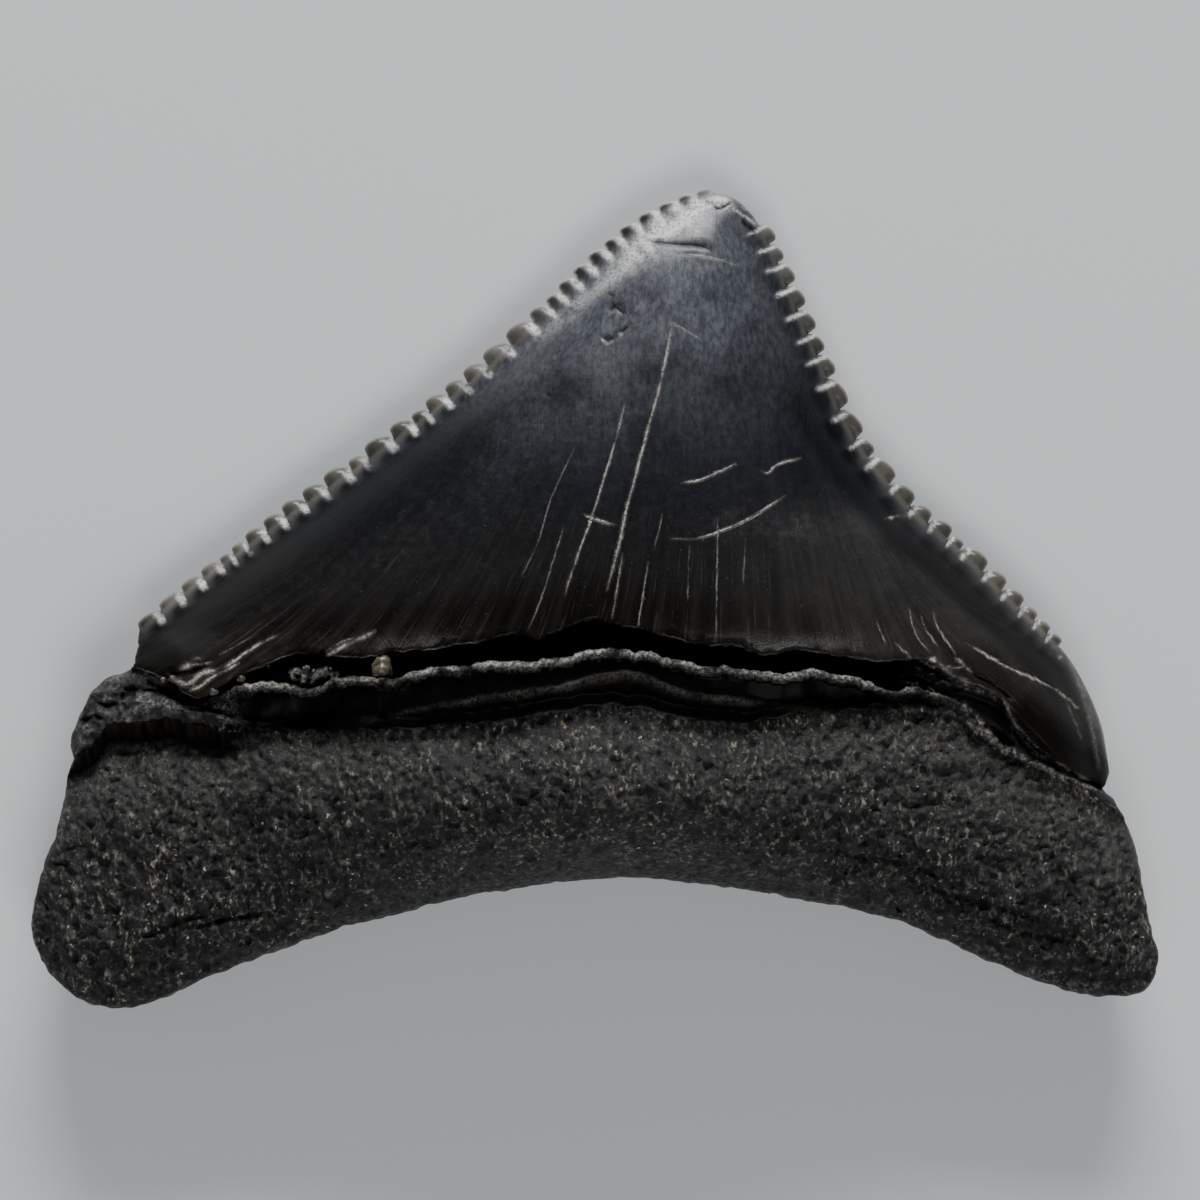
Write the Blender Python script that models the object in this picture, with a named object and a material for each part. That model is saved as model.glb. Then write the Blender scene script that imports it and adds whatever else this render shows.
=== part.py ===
"""A fossil megalodon tooth, one solid, lying on its flat labial face with its bulged lingual face up.

The tooth's frame: +X across the tooth, +Y from the root towards the tip, +Z from the surface that it
lies on up to the lingual face. Lengths in this file are millimetres, and MM turns them into metres.
"""

import math

import bpy
import numpy as np
from mathutils import Vector, noise
from mathutils.geometry import delaunay_2d_cdt

MM = 0.001

# The blade
EDGE_HEIGHT = 1.5  # the cutting edge above the table
HEEL_RISE = 0.9  # how much higher the cutting edge runs at the crown's two heels
HEEL_RISE_FROM, HEEL_RISE_TO = 3.0, -4.0  # the heights up the tooth between which it climbs
RISE_REACH = 9.0  # how far in from the edges that climb still lifts the face
EDGE_BLUNT = 0.05  # half the thickness of the cutting edge
LEFT_FLANK, RIGHT_FLANK = 0.68, 0.86  # how steeply each flank rises against the other
BLADE_SLOPE = 0.74  # rise of the lingual face per millimetre in from the edge
HEEL_SLOPE = 0.25  # the extra rise at the crown's base
HEEL_SLOPE_FROM, HEEL_SLOPE_TO = -0.5, -5.0  # the heights up the tooth between which it comes in
BLADE_SPAN = 14.0  # the smaller, the sooner that rise tires towards the middle
EDGE_REACH = 3.4  # how far in from the edge the labial face is flat again
SERRATION_HEIGHT = 0.4
SERRATION_SKEW = 0.65  # under 1 leans the peaks towards the root
SERRATION_FULLNESS = 0.5  # under 1 makes the knobs full and the notches between them narrow
FULL_WIDTH = 0.85  # a serration narrower than this is lower too
WIDEST = 1.12  # and a wide one stands at most this much higher
HEEL_WEAR = 0.45  # how much of their height the serrations have lost at the heels
HEEL_WEAR_LENGTH = 7.0  # how far up the edge that wear reaches
LEFT_TIP_WEAR = 0.55  # how much the left edge's last serrations have lost beside the tip
LEFT_TIP_WEAR_TO, LEFT_TIP_WEAR_FROM = 1.0, 5.0  # the distances from the tip over which it fades

# The root
ROOT_RIM = 0.15  # half the height of the wall at the root's rim
ROOT_RIM_HEIGHT = 2.8  # the root's widest line above the table
ROOT_ROUNDING = 3.3  # how far in from the rim the root's lingual face keeps rounding
ROOT_LEVEL = 5.9  # the root's height away from its middle bulge
ROOT_DROOP = 0.0045  # how fast that height falls off towards the lobes, per millimetre squared
TORUS_RISE = 2.7  # the bulge on the middle of the root
TORUS_HALF_WIDTH = 9.5
TORUS_HALF_HEIGHT = 3.2
TORUS_Y = -6.6

# The crack below the enamel, the smooth band below the crack, and the broken corner block
LIP_MARGIN = 0.01  # points this near the lip count as enamel
GAP_DEPTH = 1.3
GAP_END_DEPTH = 0.45
GAP_LEFT_END, GAP_RIGHT_END = -8.9, 10.3  # between them the crack is at full depth
GAP_FADE = 1.0
RIDGE_DROP = 0.25  # the broken rim below the crack, under the enamel's level
RIDGE_WIDTH = 0.25
RIDGE_WALL = 0.1  # how wide the wall is that drops from the rim into the crack
RIDGE_GAP = 0.09  # points of neighbouring rows along it keep this far apart
BAND_DROP = 0.4  # the band's upper part, just under that rim
BAND_FOOT = 0.5  # how far up from the bare root the band keeps falling away
HEEL_STEP = 0.3  # at the right heel the root starts this much below the enamel
HEEL_REACH = 0.7
BLOCK_STEP = 0.9  # the corner block above the root below it
BLOCK_WALL = 0.55  # how wide the wall is between them
BLOCK_FOOT = 1.1  # how far down the root that step dies away

# The labial face
LABIAL_HOLLOW = 0.9  # above the table, between the spots that it rests on
LABIAL_ROUNDING = 2.6
LABIAL_ENAMEL = 0.2  # the enamel stands this far out from the root
LABIAL_STEP = 0.3  # half the width of the step at its edge
LABIAL_BLEND = 0.6  # half the width over which the blade's under face passes into the root's

# The edge that the serrations stand on: from the left heel up to the tip, then down to the right heel
LEFT_EDGE = [
    (-15.95, -1.1), (-14.4, 0.2), (-12.85, 1.4), (-11.0, 2.75), (-9.5, 3.8), (-8.1, 4.8), (-6.5, 6.0),
    (-4.75, 7.35), (-3.25, 8.6), (-1.95, 9.85), (-0.7, 11.1), (0.55, 12.3), (1.8, 13.3), (3.0, 13.95),
    (4.1, 14.25),
]  # fmt: skip
RIGHT_EDGE = [
    (4.1, 14.25), (4.9, 14.0), (5.55, 13.4), (6.05, 12.5), (6.5, 11.5), (7.2, 9.85), (7.9, 8.3),
    (8.65, 6.5), (9.55, 5.0), (11.1, 3.15), (12.65, 1.85), (14.3, 0.2), (15.5, -0.95), (16.5, -2.0),
    (17.2, -3.2), (17.7, -4.45), (17.9, -5.5), (18.0, -6.2),
]  # fmt: skip
# Where those edges would run on below the crown, outermost first; the flanks rise from these too
LEFT_EDGE_BELOW = [(-23.0, -12.0), (-19.6, -4.4)]
RIGHT_EDGE_BELOW = [(19.6, -14.0), (18.7, -9.0)]
# Widths of the serrations along those edges, in the same order
LEFT_SERRATIONS = [
    0.98, 1.0, 0.88, 0.8, 0.54, 0.62, 0.8, 0.81, 0.88, 0.91, 1.05, 0.72, 1.13, 0.91, 0.65, 0.87, 0.83,
    0.9, 1.1, 1.14, 0.78, 0.63, 0.73, 0.73, 0.73, 0.68, 0.78, 0.81, 0.75, 0.71, 0.67,
]  # fmt: skip
RIGHT_SERRATIONS = [
    0.78, 0.71, 0.87, 0.91, 0.92, 0.81, 0.89, 1.18, 1.18, 0.8, 1.2, 1.04, 0.86, 0.9, 0.58, 1.1, 0.93,
    0.86, 0.68, 0.64, 0.58,
]  # fmt: skip
TIP_WEAR = 2.1  # the worn stretch from the tip down to the first serration of the right edge

# The root's rim, from the right heel round both lobes to the left, then up the broken corner block
ROOT_RIM_LINE = [
    (17.8, -6.6), (18.25, -7.1), (18.75, -8.35), (19.15, -9.95), (19.5, -11.7), (19.7, -12.35),
    (19.65, -12.95), (19.35, -13.55), (18.7, -13.9), (17.6, -13.95), (16.3, -13.7), (13.5, -12.6),
    (10.7, -11.4), (7.2, -10.55), (3.0, -9.95), (0.5, -9.8), (-1.95, -10.05), (-4.75, -10.55),
    (-7.5, -11.2), (-10.35, -12.1), (-13.3, -13.2), (-15.05, -14.0), (-16.8, -14.35), (-18.3, -13.85),
    (-19.35, -12.65), (-19.7, -11.35), (-19.4, -9.8), (-18.8, -8.05), (-18.4, -6.2), (-18.25, -5.6),
]  # fmt: skip
BLOCK_RIM_LINE = [
    (-18.4, -5.15), (-18.25, -4.65), (-17.8, -3.6), (-17.4, -3.1), (-16.9, -2.7), (-16.25, -2.4),
    (-16.15, -2.05), (-16.0, -1.65),
]  # fmt: skip

# Lines across the lingual face, each a height for every x: the enamel's lower lip, the broken rim
# below the crack, and the top of the bare root
LIP_LINE = [
    (-20.0, -2.4), (-16.25, -2.45), (-14.8, -2.8), (-13.65, -3.45), (-12.45, -2.75), (-10.65, -2.0),
    (-7.7, -2.0), (-4.75, -1.6), (-2.65, -1.25), (-1.95, -1.4), (-0.2, -0.75), (1.45, -1.0), (3.7, -1.6),
    (6.0, -1.95), (7.45, -1.85), (11.15, -2.1), (12.95, -2.95), (14.2, -3.9), (15.7, -5.45),
    (17.8, -6.6), (20.0, -7.6),
]  # fmt: skip
RIDGE_LINE = [
    (-20.0, -3.3), (-16.0, -3.3), (-13.7, -3.6), (-12.35, -3.05), (-10.0, -3.1), (-8.9, -2.75), (-6.9, -2.8),
    (-3.6, -2.2), (0.0, -1.8), (2.3, -2.05), (6.55, -2.6), (7.5, -2.4), (9.55, -2.95), (12.35, -3.5),
    (14.3, -5.25), (17.7, -6.95), (20.0, -7.9),
]  # fmt: skip
GRAIN_LINE = [
    (-20.0, -5.6), (-18.3, -5.5), (-17.3, -4.9), (-16.9, -4.4), (-16.3, -4.27), (-15.2, -4.25), (-12.4, -4.6),
    (-8.6, -4.6), (-3.9, -4.3), (0.2, -3.7), (5.25, -4.3), (10.7, -3.9), (12.1, -4.0), (14.3, -5.45),
    (17.7, -7.05), (20.0, -8.0),
]  # fmt: skip
LABIAL_LINE = [
    (-20.0, -4.6), (-17.0, -4.3), (-9.0, -4.4), (0.5, -3.4), (9.0, -4.6), (17.0, -6.3), (20.0, -6.7),
]  # fmt: skip
BLOCK_END_X = -12.4  # the broken corner block lies left of this
BLOCK_FADE = 0.8
RIDGE_START_X = -16.4
BAND_END_X = 12.9  # right of this the enamel meets the bare root in one step
BAND_FADE = 1.4

# Low steps across the lobes: up just above each line, dying away over LEDGE_REACH
LEFT_LEDGE = [(-14.5, -11.9), (-12.5, -11.55), (-10.5, -10.9)]
RIGHT_LEDGE = [(8.4, -8.6), (10.4, -9.15), (13.0, -10.3), (15.5, -11.2), (17.4, -11.9)]
LEDGE_HEIGHT = 0.22
LEDGE_FOOT = 0.25
LEDGE_REACH = 2.0

# Where the labial face touches the table: (x, y, spread), two lobes and the blade
LOBE_RESTS = [(-15.2, -9.4, 5.2), (15.6, -9.6, 5.2)]
BLADE_REST = (2.9, 7.6, 6.0)
LOBE_REST_DEPTH = 1.06  # a little over the hollow, so that the lobes have small flats

# The root's unevenness: (size, height) of the lumps, and how far in from the rim and lip it grows full
LUMPS = [(2.6, 0.17), (1.1, 0.11)]
LUMPS_FROM = 1.5
HEEL_BLEND = 2.5  # how far round the rim the blade's thin edge passes into the root's

FOSSIL_COLOUR = (0.03, 0.031, 0.034)
FOSSIL_ROUGHNESS = 0.45

# How finely curves are sampled where heights and distances are read off them
CURVE_STEP, LONG_CURVE_STEP = 0.1, 0.2

# How finely the surface is cut into facets
FIELD_HALF_WIDTH, FIELD_HALF_HEIGHT = 20, 15  # the lattices cover this much, more than the tooth
ROW_SPACING = 0.866  # a triangular lattice's rows, as a share of its step
RIM_STEP = 0.65
EDGE_TURN = 0.3  # the cutting edge's direction is taken over this length each way
LINE_STEP = 0.6
NEAR_LINE = 0.12  # rows of points this far from a line make the step across it crisp
GRAIN_GAP = 0.2
BLADE_RIM_STEP = 0.55
SEARCH_CELL = 0.25  # points are looked up in square cells of this size
LATTICE_GAP = 0.55  # lattice points keep this share of the lattice's step clear of other points
STEPS_PER_SERRATION = (0.0, 0.2, 0.45, 0.7, 0.88)
CROWN_LATTICE, ROOT_LATTICE, LABIAL_LATTICE = 0.95, 0.68, 1.15
ROOT_RINGS = (0.2, 0.6, 1.15, 1.8, 2.6)
LABIAL_RINGS = (0.35, 1.0, 1.9)
BLADE_RINGS = (0.35, 0.9)
BLADE_RING_GAP = 0.25
ROOT_RING_GAP, ROOT_RING_GROWTH = 0.2, 0.12  # the gap at the rim, and how much it widens per millimetre


def smooth_curve(points, step):
    """Points a step apart along a centripetal curve through the given points."""
    p = [np.array(q, float) for q in points]
    p = [2 * p[0] - p[1], *p, 2 * p[-1] - p[-2]]
    found = []
    for a, b, c, d in zip(p, p[1:], p[2:], p[3:]):
        count = max(2, math.ceil(np.linalg.norm(c - b) / step))
        for t in np.arange(count) / count:
            square, cube = 2 * a - 5 * b + 4 * c - d, 3 * b - a - 3 * c + d
            found.append(0.5 * (2 * b + (c - a) * t + square * t**2 + cube * t**3))
    return np.array([*found, p[-2]])


def line_height(line, x):
    """The height of a line across the face, at each x."""
    curve = smooth_curve(line, LONG_CURVE_STEP)
    return np.interp(x, curve[:, 0], curve[:, 1])


def smooth_step(low, high, value):
    t = np.clip((value - low) / (high - low), 0, 1)
    return t * t * (3 - 2 * t)


def distance_to(line, x, y):
    """Distance from each point to a polyline."""
    a, b = line[:-1], line[1:]
    along = b - a
    px, py = x[:, None] - a[:, 0], y[:, None] - a[:, 1]
    t = np.clip((px * along[:, 0] + py * along[:, 1]) / (along**2).sum(1), 0, 1)
    return np.sqrt(((px - t * along[:, 0]) ** 2 + (py - t * along[:, 1]) ** 2).min(1))


def inside(loop, x, y):
    """Whether each point is inside a closed outline."""
    found = np.zeros(len(x), bool)
    for (ax, ay), (bx, by) in zip(loop, np.roll(loop, -1, axis=0)):
        if ay != by:
            found ^= ((ay > y) != (by > y)) & (x < (bx - ax) * (y - ay) / (by - ay) + ax)
    return found


def serrated(curve, widths, start, from_root):
    """The cutting edge along a curve: smooth up to start, then a rounded knob for each width."""
    along = np.concatenate([[0], np.cumsum(np.linalg.norm(np.diff(curve, axis=0), axis=1))])
    knobs = [(place, 0.0) for place in np.arange(0, start, RIM_STEP)]
    knobs += [] if from_root else [(start, 0.0)]
    notch = start
    for width in widths:
        for phase in STEPS_PER_SERRATION:
            place = notch + width * (phase if from_root else 1 - phase)
            from_end = along[-1] - place
            wear = 1 - HEEL_WEAR * smooth_step(HEEL_WEAR_LENGTH, 0, place if from_root else from_end)
            if from_root:
                wear *= 1 - LEFT_TIP_WEAR * smooth_step(LEFT_TIP_WEAR_FROM, LEFT_TIP_WEAR_TO, from_end)
            height = SERRATION_HEIGHT * min(WIDEST, width / FULL_WIDTH) * wear
            knobs.append((place, height * math.sin(math.pi * phase**SERRATION_SKEW) ** SERRATION_FULLNESS))
        notch += width
    knobs += [(place, 0.0) for place in np.arange(notch + RIM_STEP, along[-1] - RIM_STEP / 2, RIM_STEP)]
    places, heights = np.array(sorted(knobs)).T
    points, before, after = (
        np.column_stack([np.interp(places + shift, along, curve[:, i]) for i in (0, 1)])
        for shift in (0, -EDGE_TURN, EDGE_TURN)
    )
    ahead = (after - before) / np.linalg.norm(after - before, axis=1)[:, None]
    outward = np.column_stack([-ahead[:, 1], ahead[:, 0]])
    return points + outward * heights[:, None]


def outlines():
    """The whole rim as one closed loop, and which of its points are on the crown's cutting edge."""
    left, right = smooth_curve(LEFT_EDGE, CURVE_STEP), smooth_curve(RIGHT_EDGE, CURVE_STEP)
    blade = np.concatenate(
        [serrated(left, LEFT_SERRATIONS, 0.0, True), serrated(right, RIGHT_SERRATIONS, TIP_WEAR, False)]
    )
    root = np.concatenate([smooth_curve(ROOT_RIM_LINE, RIM_STEP), smooth_curve(BLOCK_RIM_LINE, RIM_STEP)])
    loop = np.concatenate([blade, root])
    return loop, np.arange(len(loop)) < len(blade)


def edge_height(y):
    return EDGE_HEIGHT + HEEL_RISE * smooth_step(HEEL_RISE_FROM, HEEL_RISE_TO, y)


def across_blade(x, y):
    """How far a point is from both cutting edges: nought on either, and smooth between them."""
    left = np.array([*LEFT_EDGE_BELOW, *LEFT_EDGE])
    right = np.array([*RIGHT_EDGE_BELOW, *RIGHT_EDGE[::-1]])
    from_left = LEFT_FLANK * np.maximum(x - np.interp(y, left[:, 1], left[:, 0]), 0)
    from_right = RIGHT_FLANK * np.maximum(np.interp(y, right[:, 1], right[:, 0]) - x, 0)
    return 2 * from_left * from_right / np.maximum(from_left + from_right, 1e-6)


def crown_top(x, y):
    across = across_blade(x, y)
    slope = BLADE_SLOPE + HEEL_SLOPE * smooth_step(HEEL_SLOPE_FROM, HEEL_SLOPE_TO, y)
    rise = (edge_height(y) - EDGE_HEIGHT) * smooth_step(RISE_REACH, 0, across)
    return EDGE_HEIGHT + rise + slope * across / (1 + across / BLADE_SPAN)


def dome(x, y, cx, cy, spread):
    return np.exp(-((x - cx) ** 2 + (y - cy) ** 2) / spread**2)


def ledge(x, y, line):
    """A low step along a line: up just above it, dying away over LEDGE_REACH."""
    above = y - np.interp(x, *np.array(line).T, left=-99, right=-99)
    return LEDGE_HEIGHT * smooth_step(-LEDGE_FOOT, LEDGE_FOOT, above) * smooth_step(LEDGE_REACH, 0, above)


def root_top(x, y, from_rim):
    torus = np.exp(-((x / TORUS_HALF_WIDTH) ** 2) - ((y - TORUS_Y) / TORUS_HALF_HEIGHT) ** 2)
    below_block = line_height(GRAIN_LINE, x) - y
    height = ROOT_LEVEL - ROOT_DROOP * x**2 + TORUS_RISE * torus
    recovering = np.exp(-np.maximum(below_block - BLOCK_WALL, 0) / BLOCK_FOOT)
    height = height - BLOCK_STEP * block_share(x) * smooth_step(0, BLOCK_WALL, below_block) * recovering
    height = height + ledge(x, y, LEFT_LEDGE) + ledge(x, y, RIGHT_LEDGE)
    rounding = np.sqrt(1 - (1 - np.clip(from_rim / ROOT_ROUNDING, 0, 1)) ** 2)
    base = ROOT_RIM_HEIGHT + ROOT_RIM
    return base + (height - base) * rounding


def block_share(x):
    """One over the broken corner block, nought right of it."""
    return smooth_step(BLOCK_END_X + BLOCK_FADE, BLOCK_END_X - BLOCK_FADE, x)


def gap_depth(x):
    middle = smooth_step(GAP_LEFT_END - GAP_FADE, GAP_LEFT_END + GAP_FADE, x)
    middle = middle * smooth_step(GAP_RIGHT_END + GAP_FADE, GAP_RIGHT_END - GAP_FADE, x)
    return GAP_END_DEPTH + (GAP_DEPTH - GAP_END_DEPTH) * middle


def lingual_height(x, y, from_rim):
    """The upper face: the blade, the crack, the band below it, then the root."""
    lip, ridge, grain = (line_height(line, x) for line in (LIP_LINE, RIDGE_LINE, GRAIN_LINE))
    crown, root = crown_top(x, y), root_top(x, y, from_rim)
    below_lip = np.clip((lip - y) / np.maximum(lip - grain, HEEL_REACH), 0, 1)
    level = crown + (root - crown) * smooth_step(0, 1, below_lip)
    ridge_drop = RIDGE_DROP + (gap_depth(x) - RIDGE_DROP) * smooth_step(0, RIDGE_WALL, y - ridge)
    band_drop = BAND_DROP * smooth_step(0, BAND_FOOT, y - grain) * (1 - block_share(x))
    drop = np.where(y > ridge - RIDGE_WIDTH, ridge_drop, band_drop)
    has_band = smooth_step(BAND_END_X, BAND_END_X - BAND_FADE, x)
    drop = drop * has_band + HEEL_STEP * (1 - has_band) * (1 - below_lip)
    return np.where(y >= lip - LIP_MARGIN, crown, level - drop)


def labial_height(x, y, from_rim):
    """The under face: nearly flat, hollow between the three spots that rest on the table."""
    above_line = smooth_step(-LABIAL_STEP, LABIAL_STEP, y - line_height(LABIAL_LINE, x))
    hollow = LABIAL_HOLLOW * (1 - dome(x, y, *BLADE_REST)) - LABIAL_ENAMEL * above_line
    for cx, cy, spread in LOBE_RESTS:
        hollow = hollow - LOBE_REST_DEPTH * dome(x, y, cx, cy, spread)
    hollow = np.maximum(hollow, 0)
    edge = edge_height(y) - EDGE_BLUNT
    blade_height = hollow + (edge - hollow) * np.clip(1 - from_rim / EDGE_REACH, 0, 1) ** 3
    rounding = np.sqrt(1 - (1 - np.clip(from_rim / LABIAL_ROUNDING, 0, 1)) ** 2)
    root_height = ROOT_RIM_HEIGHT - ROOT_RIM - (ROOT_RIM_HEIGHT - ROOT_RIM - hollow) * rounding
    on_blade = smooth_step(-LABIAL_BLEND, LABIAL_BLEND, y - line_height(LIP_LINE, x))
    return root_height + (blade_height - root_height) * on_blade


def spread_points(loop, groups):
    """Points of each group in turn that are inside the rim and clear of all kept before them."""
    kept = [tuple(p) for p in loop]
    cell = SEARCH_CELL
    taken = {}
    for p in kept:
        taken.setdefault((int(p[0] // cell), int(p[1] // cell)), []).append(p)
    for points, gap in groups:
        for x, y in points[inside(loop, points[:, 0], points[:, 1])]:
            reach = math.ceil(gap / cell)
            i, j = int(x // cell), int(y // cell)
            near = (q for a in range(i - reach, i + reach + 1) for b in range(j - reach, j + reach + 1)
                    for q in taken.get((a, b), ()))  # fmt: skip
            if all((x - q[0]) ** 2 + (y - q[1]) ** 2 > gap**2 for q in near):
                kept.append((x, y))
                taken.setdefault((i, j), []).append((x, y))
    return np.array(kept)


def ring(loop, inset):
    """The rim's points moved inward."""
    ahead = np.roll(loop, -1, axis=0) - np.roll(loop, 1, axis=0)
    ahead /= np.linalg.norm(ahead, axis=1)[:, None]
    return loop + inset * np.column_stack([ahead[:, 1], -ahead[:, 0]])


def lattice(step):
    rows = np.arange(-FIELD_HALF_HEIGHT, FIELD_HALF_HEIGHT, step * ROW_SPACING)
    columns = np.arange(-FIELD_HALF_WIDTH, FIELD_HALF_WIDTH, step)
    return np.array([(x + step / 2 * (i % 2), y) for i, y in enumerate(rows) for x in columns])


def stretch(line, left, right, offset, step):
    """The part of a line between two x, moved up or down the face."""
    curve = smooth_curve(line, step)
    return curve[(curve[:, 0] > left) & (curve[:, 0] < right)] + (0, offset)


def rings(loop, on_blade, blade_insets, root_insets):
    """Groups of points at set distances inside the rim."""
    blade_rim = smooth_curve(LEFT_EDGE + RIGHT_EDGE[1:], BLADE_RIM_STEP)
    found = [(ring(blade_rim, inset), BLADE_RING_GAP) for inset in blade_insets]
    for inset in root_insets:
        found.append((ring(loop[~on_blade], inset)[1:-1], ROOT_RING_GAP + ROOT_RING_GROWTH * inset))
    return found


def lingual_points(loop, on_blade):
    """Points on the upper face: each line across it with a second row close by, rings, then lattices."""
    whole, band = (-FIELD_HALF_WIDTH, FIELD_HALF_WIDTH), (RIDGE_START_X, BAND_END_X)
    groups = [(stretch(LIP_LINE, *whole, offset, LINE_STEP), NEAR_LINE / 2) for offset in (0.0, -NEAR_LINE)]
    ridge_rows = (RIDGE_WALL, 0.0, -RIDGE_WIDTH, -RIDGE_WIDTH - NEAR_LINE)
    groups += [(stretch(RIDGE_LINE, *band, offset, LINE_STEP), RIDGE_GAP) for offset in ridge_rows]
    for left, right, rows in (
        (-FIELD_HALF_WIDTH, BLOCK_END_X, (0.0, -BLOCK_WALL)),
        (BLOCK_END_X, BAND_END_X, (NEAR_LINE, -NEAR_LINE)),
    ):
        groups += [(stretch(GRAIN_LINE, left, right, offset, LINE_STEP), GRAIN_GAP) for offset in rows]
    groups += rings(loop, on_blade, BLADE_RINGS, ROOT_RINGS)
    groups += [(stretch(line, *whole, side * LEDGE_FOOT, LINE_STEP), LEDGE_FOOT)
               for line in (LEFT_LEDGE, RIGHT_LEDGE) for side in (1, -1)]  # fmt: skip
    fine = lattice(ROOT_LATTICE)
    fine = fine[fine[:, 1] < line_height(LIP_LINE, fine[:, 0])]
    groups += [(fine, LATTICE_GAP * ROOT_LATTICE), (lattice(CROWN_LATTICE), LATTICE_GAP * CROWN_LATTICE)]
    return spread_points(loop, groups)


def labial_points(loop, on_blade):
    whole = (-FIELD_HALF_WIDTH, FIELD_HALF_WIDTH)
    groups = [(stretch(LABIAL_LINE, *whole, side * LABIAL_STEP, LINE_STEP), LABIAL_STEP) for side in (1, -1)]
    groups += rings(loop, on_blade, BLADE_RINGS, LABIAL_RINGS)
    groups.append((lattice(LABIAL_LATTICE), LATTICE_GAP * LABIAL_LATTICE))
    return spread_points(loop, groups)


def triangles(points, rim):
    """Triangles that fill the rim, as index triples into points, anticlockwise."""
    rim_edges = [(i, (i + 1) % len(rim)) for i in range(len(rim))]
    found = delaunay_2d_cdt([Vector(p) for p in points], rim_edges, [], 0, 1e-6, True)
    if len(found[0]) != len(points):
        raise ValueError("the rim crosses itself")
    index = np.array([source[0] for source in found[3]])
    faces = index[np.array([list(face) for face in found[2]])]
    middle = points[faces].mean(1)
    faces = faces[inside(rim, middle[:, 0], middle[:, 1])]
    a, b, c = (points[faces[:, i]] for i in range(3))
    backward = np.cross(b - a, c - a) < 0
    faces[backward] = faces[backward][:, ::-1]
    return faces


def lumps(x, y):
    """The root's gentle unevenness, in millimetres."""
    height = np.zeros(len(x))
    for seed, (size, rise) in enumerate(LUMPS):
        height += [rise * noise.noise(Vector((a / size, b / size, seed + 0.5))) for a, b in zip(x, y)]
    return height


def rim_heights(loop, on_blade, side):
    """The rim's upper line (side 1) or lower (-1), easing from the blade's to the root's at the heels."""
    x, y = loop.T
    blade_rim = smooth_curve(LEFT_EDGE + RIGHT_EDGE[1:], LONG_CURVE_STEP)
    share = np.where(on_blade, 1.0, smooth_step(HEEL_BLEND, 0.0, distance_to(blade_rim, x, y)))
    blade, root = edge_height(y) + side * EDGE_BLUNT, ROOT_RIM_HEIGHT + side * ROOT_RIM
    return blade * share + root * (1 - share)


def face_corners(points, loop, on_blade, side):
    """The corners of the upper face (side 1) or the under face (-1), rim first."""
    x, y = points.T
    blade_rim = smooth_curve(LEFT_EDGE + RIGHT_EDGE[1:], LONG_CURVE_STEP)
    root_rim = smooth_curve(ROOT_RIM_LINE + BLOCK_RIM_LINE, LONG_CURVE_STEP)
    from_root_rim = distance_to(root_rim, x, y)
    if side > 0:
        below_lip = line_height(LIP_LINE, x) - y
        on_root = smooth_step(0, LUMPS_FROM, below_lip) * smooth_step(0, LUMPS_FROM, from_root_rim)
        z = lingual_height(x, y, from_root_rim) + on_root * lumps(x, y)
    else:
        z = labial_height(x, y, np.minimum(from_root_rim, distance_to(blade_rim, x, y)))
    z[: len(loop)] = rim_heights(loop, on_blade, side)
    return np.column_stack([points, z])


def tooth_mesh():
    loop, on_blade = outlines()
    top, under = lingual_points(loop, on_blade), labial_points(loop, on_blade)
    corners = [face_corners(top, loop, on_blade, 1), face_corners(under, loop, on_blade, -1)]
    here = np.arange(len(loop))
    after = np.roll(here, -1)
    below, below_after = here + len(top), after + len(top)
    wall = [np.column_stack([here, after, below_after]), np.column_stack([here, below_after, below])]
    faces = np.concatenate([triangles(top, loop), triangles(under, loop)[:, ::-1] + len(top), *wall])
    mesh = bpy.data.meshes.new("tooth")
    mesh.from_pydata((np.concatenate(corners) * MM).tolist(), [], faces.tolist())
    mesh.validate()
    return mesh


def material(name, colour, roughness):
    made = bpy.data.materials.new(name)
    made.use_nodes = True
    shader = made.node_tree.nodes["Principled BSDF"]
    shader.inputs["Base Color"].default_value = (*colour, 1)
    shader.inputs["Roughness"].default_value = roughness
    shader.inputs["Metallic"].default_value = 0.0
    return made


def main():
    for old in list(bpy.data.objects):
        bpy.data.objects.remove(old)
    tooth = bpy.data.objects.new("tooth", tooth_mesh())
    tooth.data.materials.append(material("fossil", FOSSIL_COLOUR, FOSSIL_ROUGHNESS))
    bpy.context.scene.collection.objects.link(tooth)


main()
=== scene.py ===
import math

import bmesh
import bpy
import numpy as np
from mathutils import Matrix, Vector, kdtree, noise
from mathutils.geometry import delaunay_2d_cdt


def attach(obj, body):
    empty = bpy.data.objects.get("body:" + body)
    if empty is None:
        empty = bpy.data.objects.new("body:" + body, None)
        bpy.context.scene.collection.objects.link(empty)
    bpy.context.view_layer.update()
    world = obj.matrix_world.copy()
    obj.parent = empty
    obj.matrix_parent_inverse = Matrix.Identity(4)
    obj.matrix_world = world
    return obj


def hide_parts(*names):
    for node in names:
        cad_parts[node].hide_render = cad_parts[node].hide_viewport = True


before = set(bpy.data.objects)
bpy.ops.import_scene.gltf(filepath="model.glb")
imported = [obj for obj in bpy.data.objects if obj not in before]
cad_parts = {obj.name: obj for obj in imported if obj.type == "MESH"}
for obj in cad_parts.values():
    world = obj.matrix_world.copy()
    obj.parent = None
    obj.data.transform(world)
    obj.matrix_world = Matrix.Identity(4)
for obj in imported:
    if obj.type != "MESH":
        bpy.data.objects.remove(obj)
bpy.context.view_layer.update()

# A fossil megalodon tooth lying on its labial face. Lengths are millimetres in the tooth's frame: +X
# across it, +Y from the root to the tip, +Z up out of the lingual face. MM turns them into metres.
MM = 0.001
PIXEL = 0.035  # millimetres on the tooth for one pixel of the 1200 pixel photograph
PHOTO_ORIGIN = (595, 598)  # the pixel over the frame's origin
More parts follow.
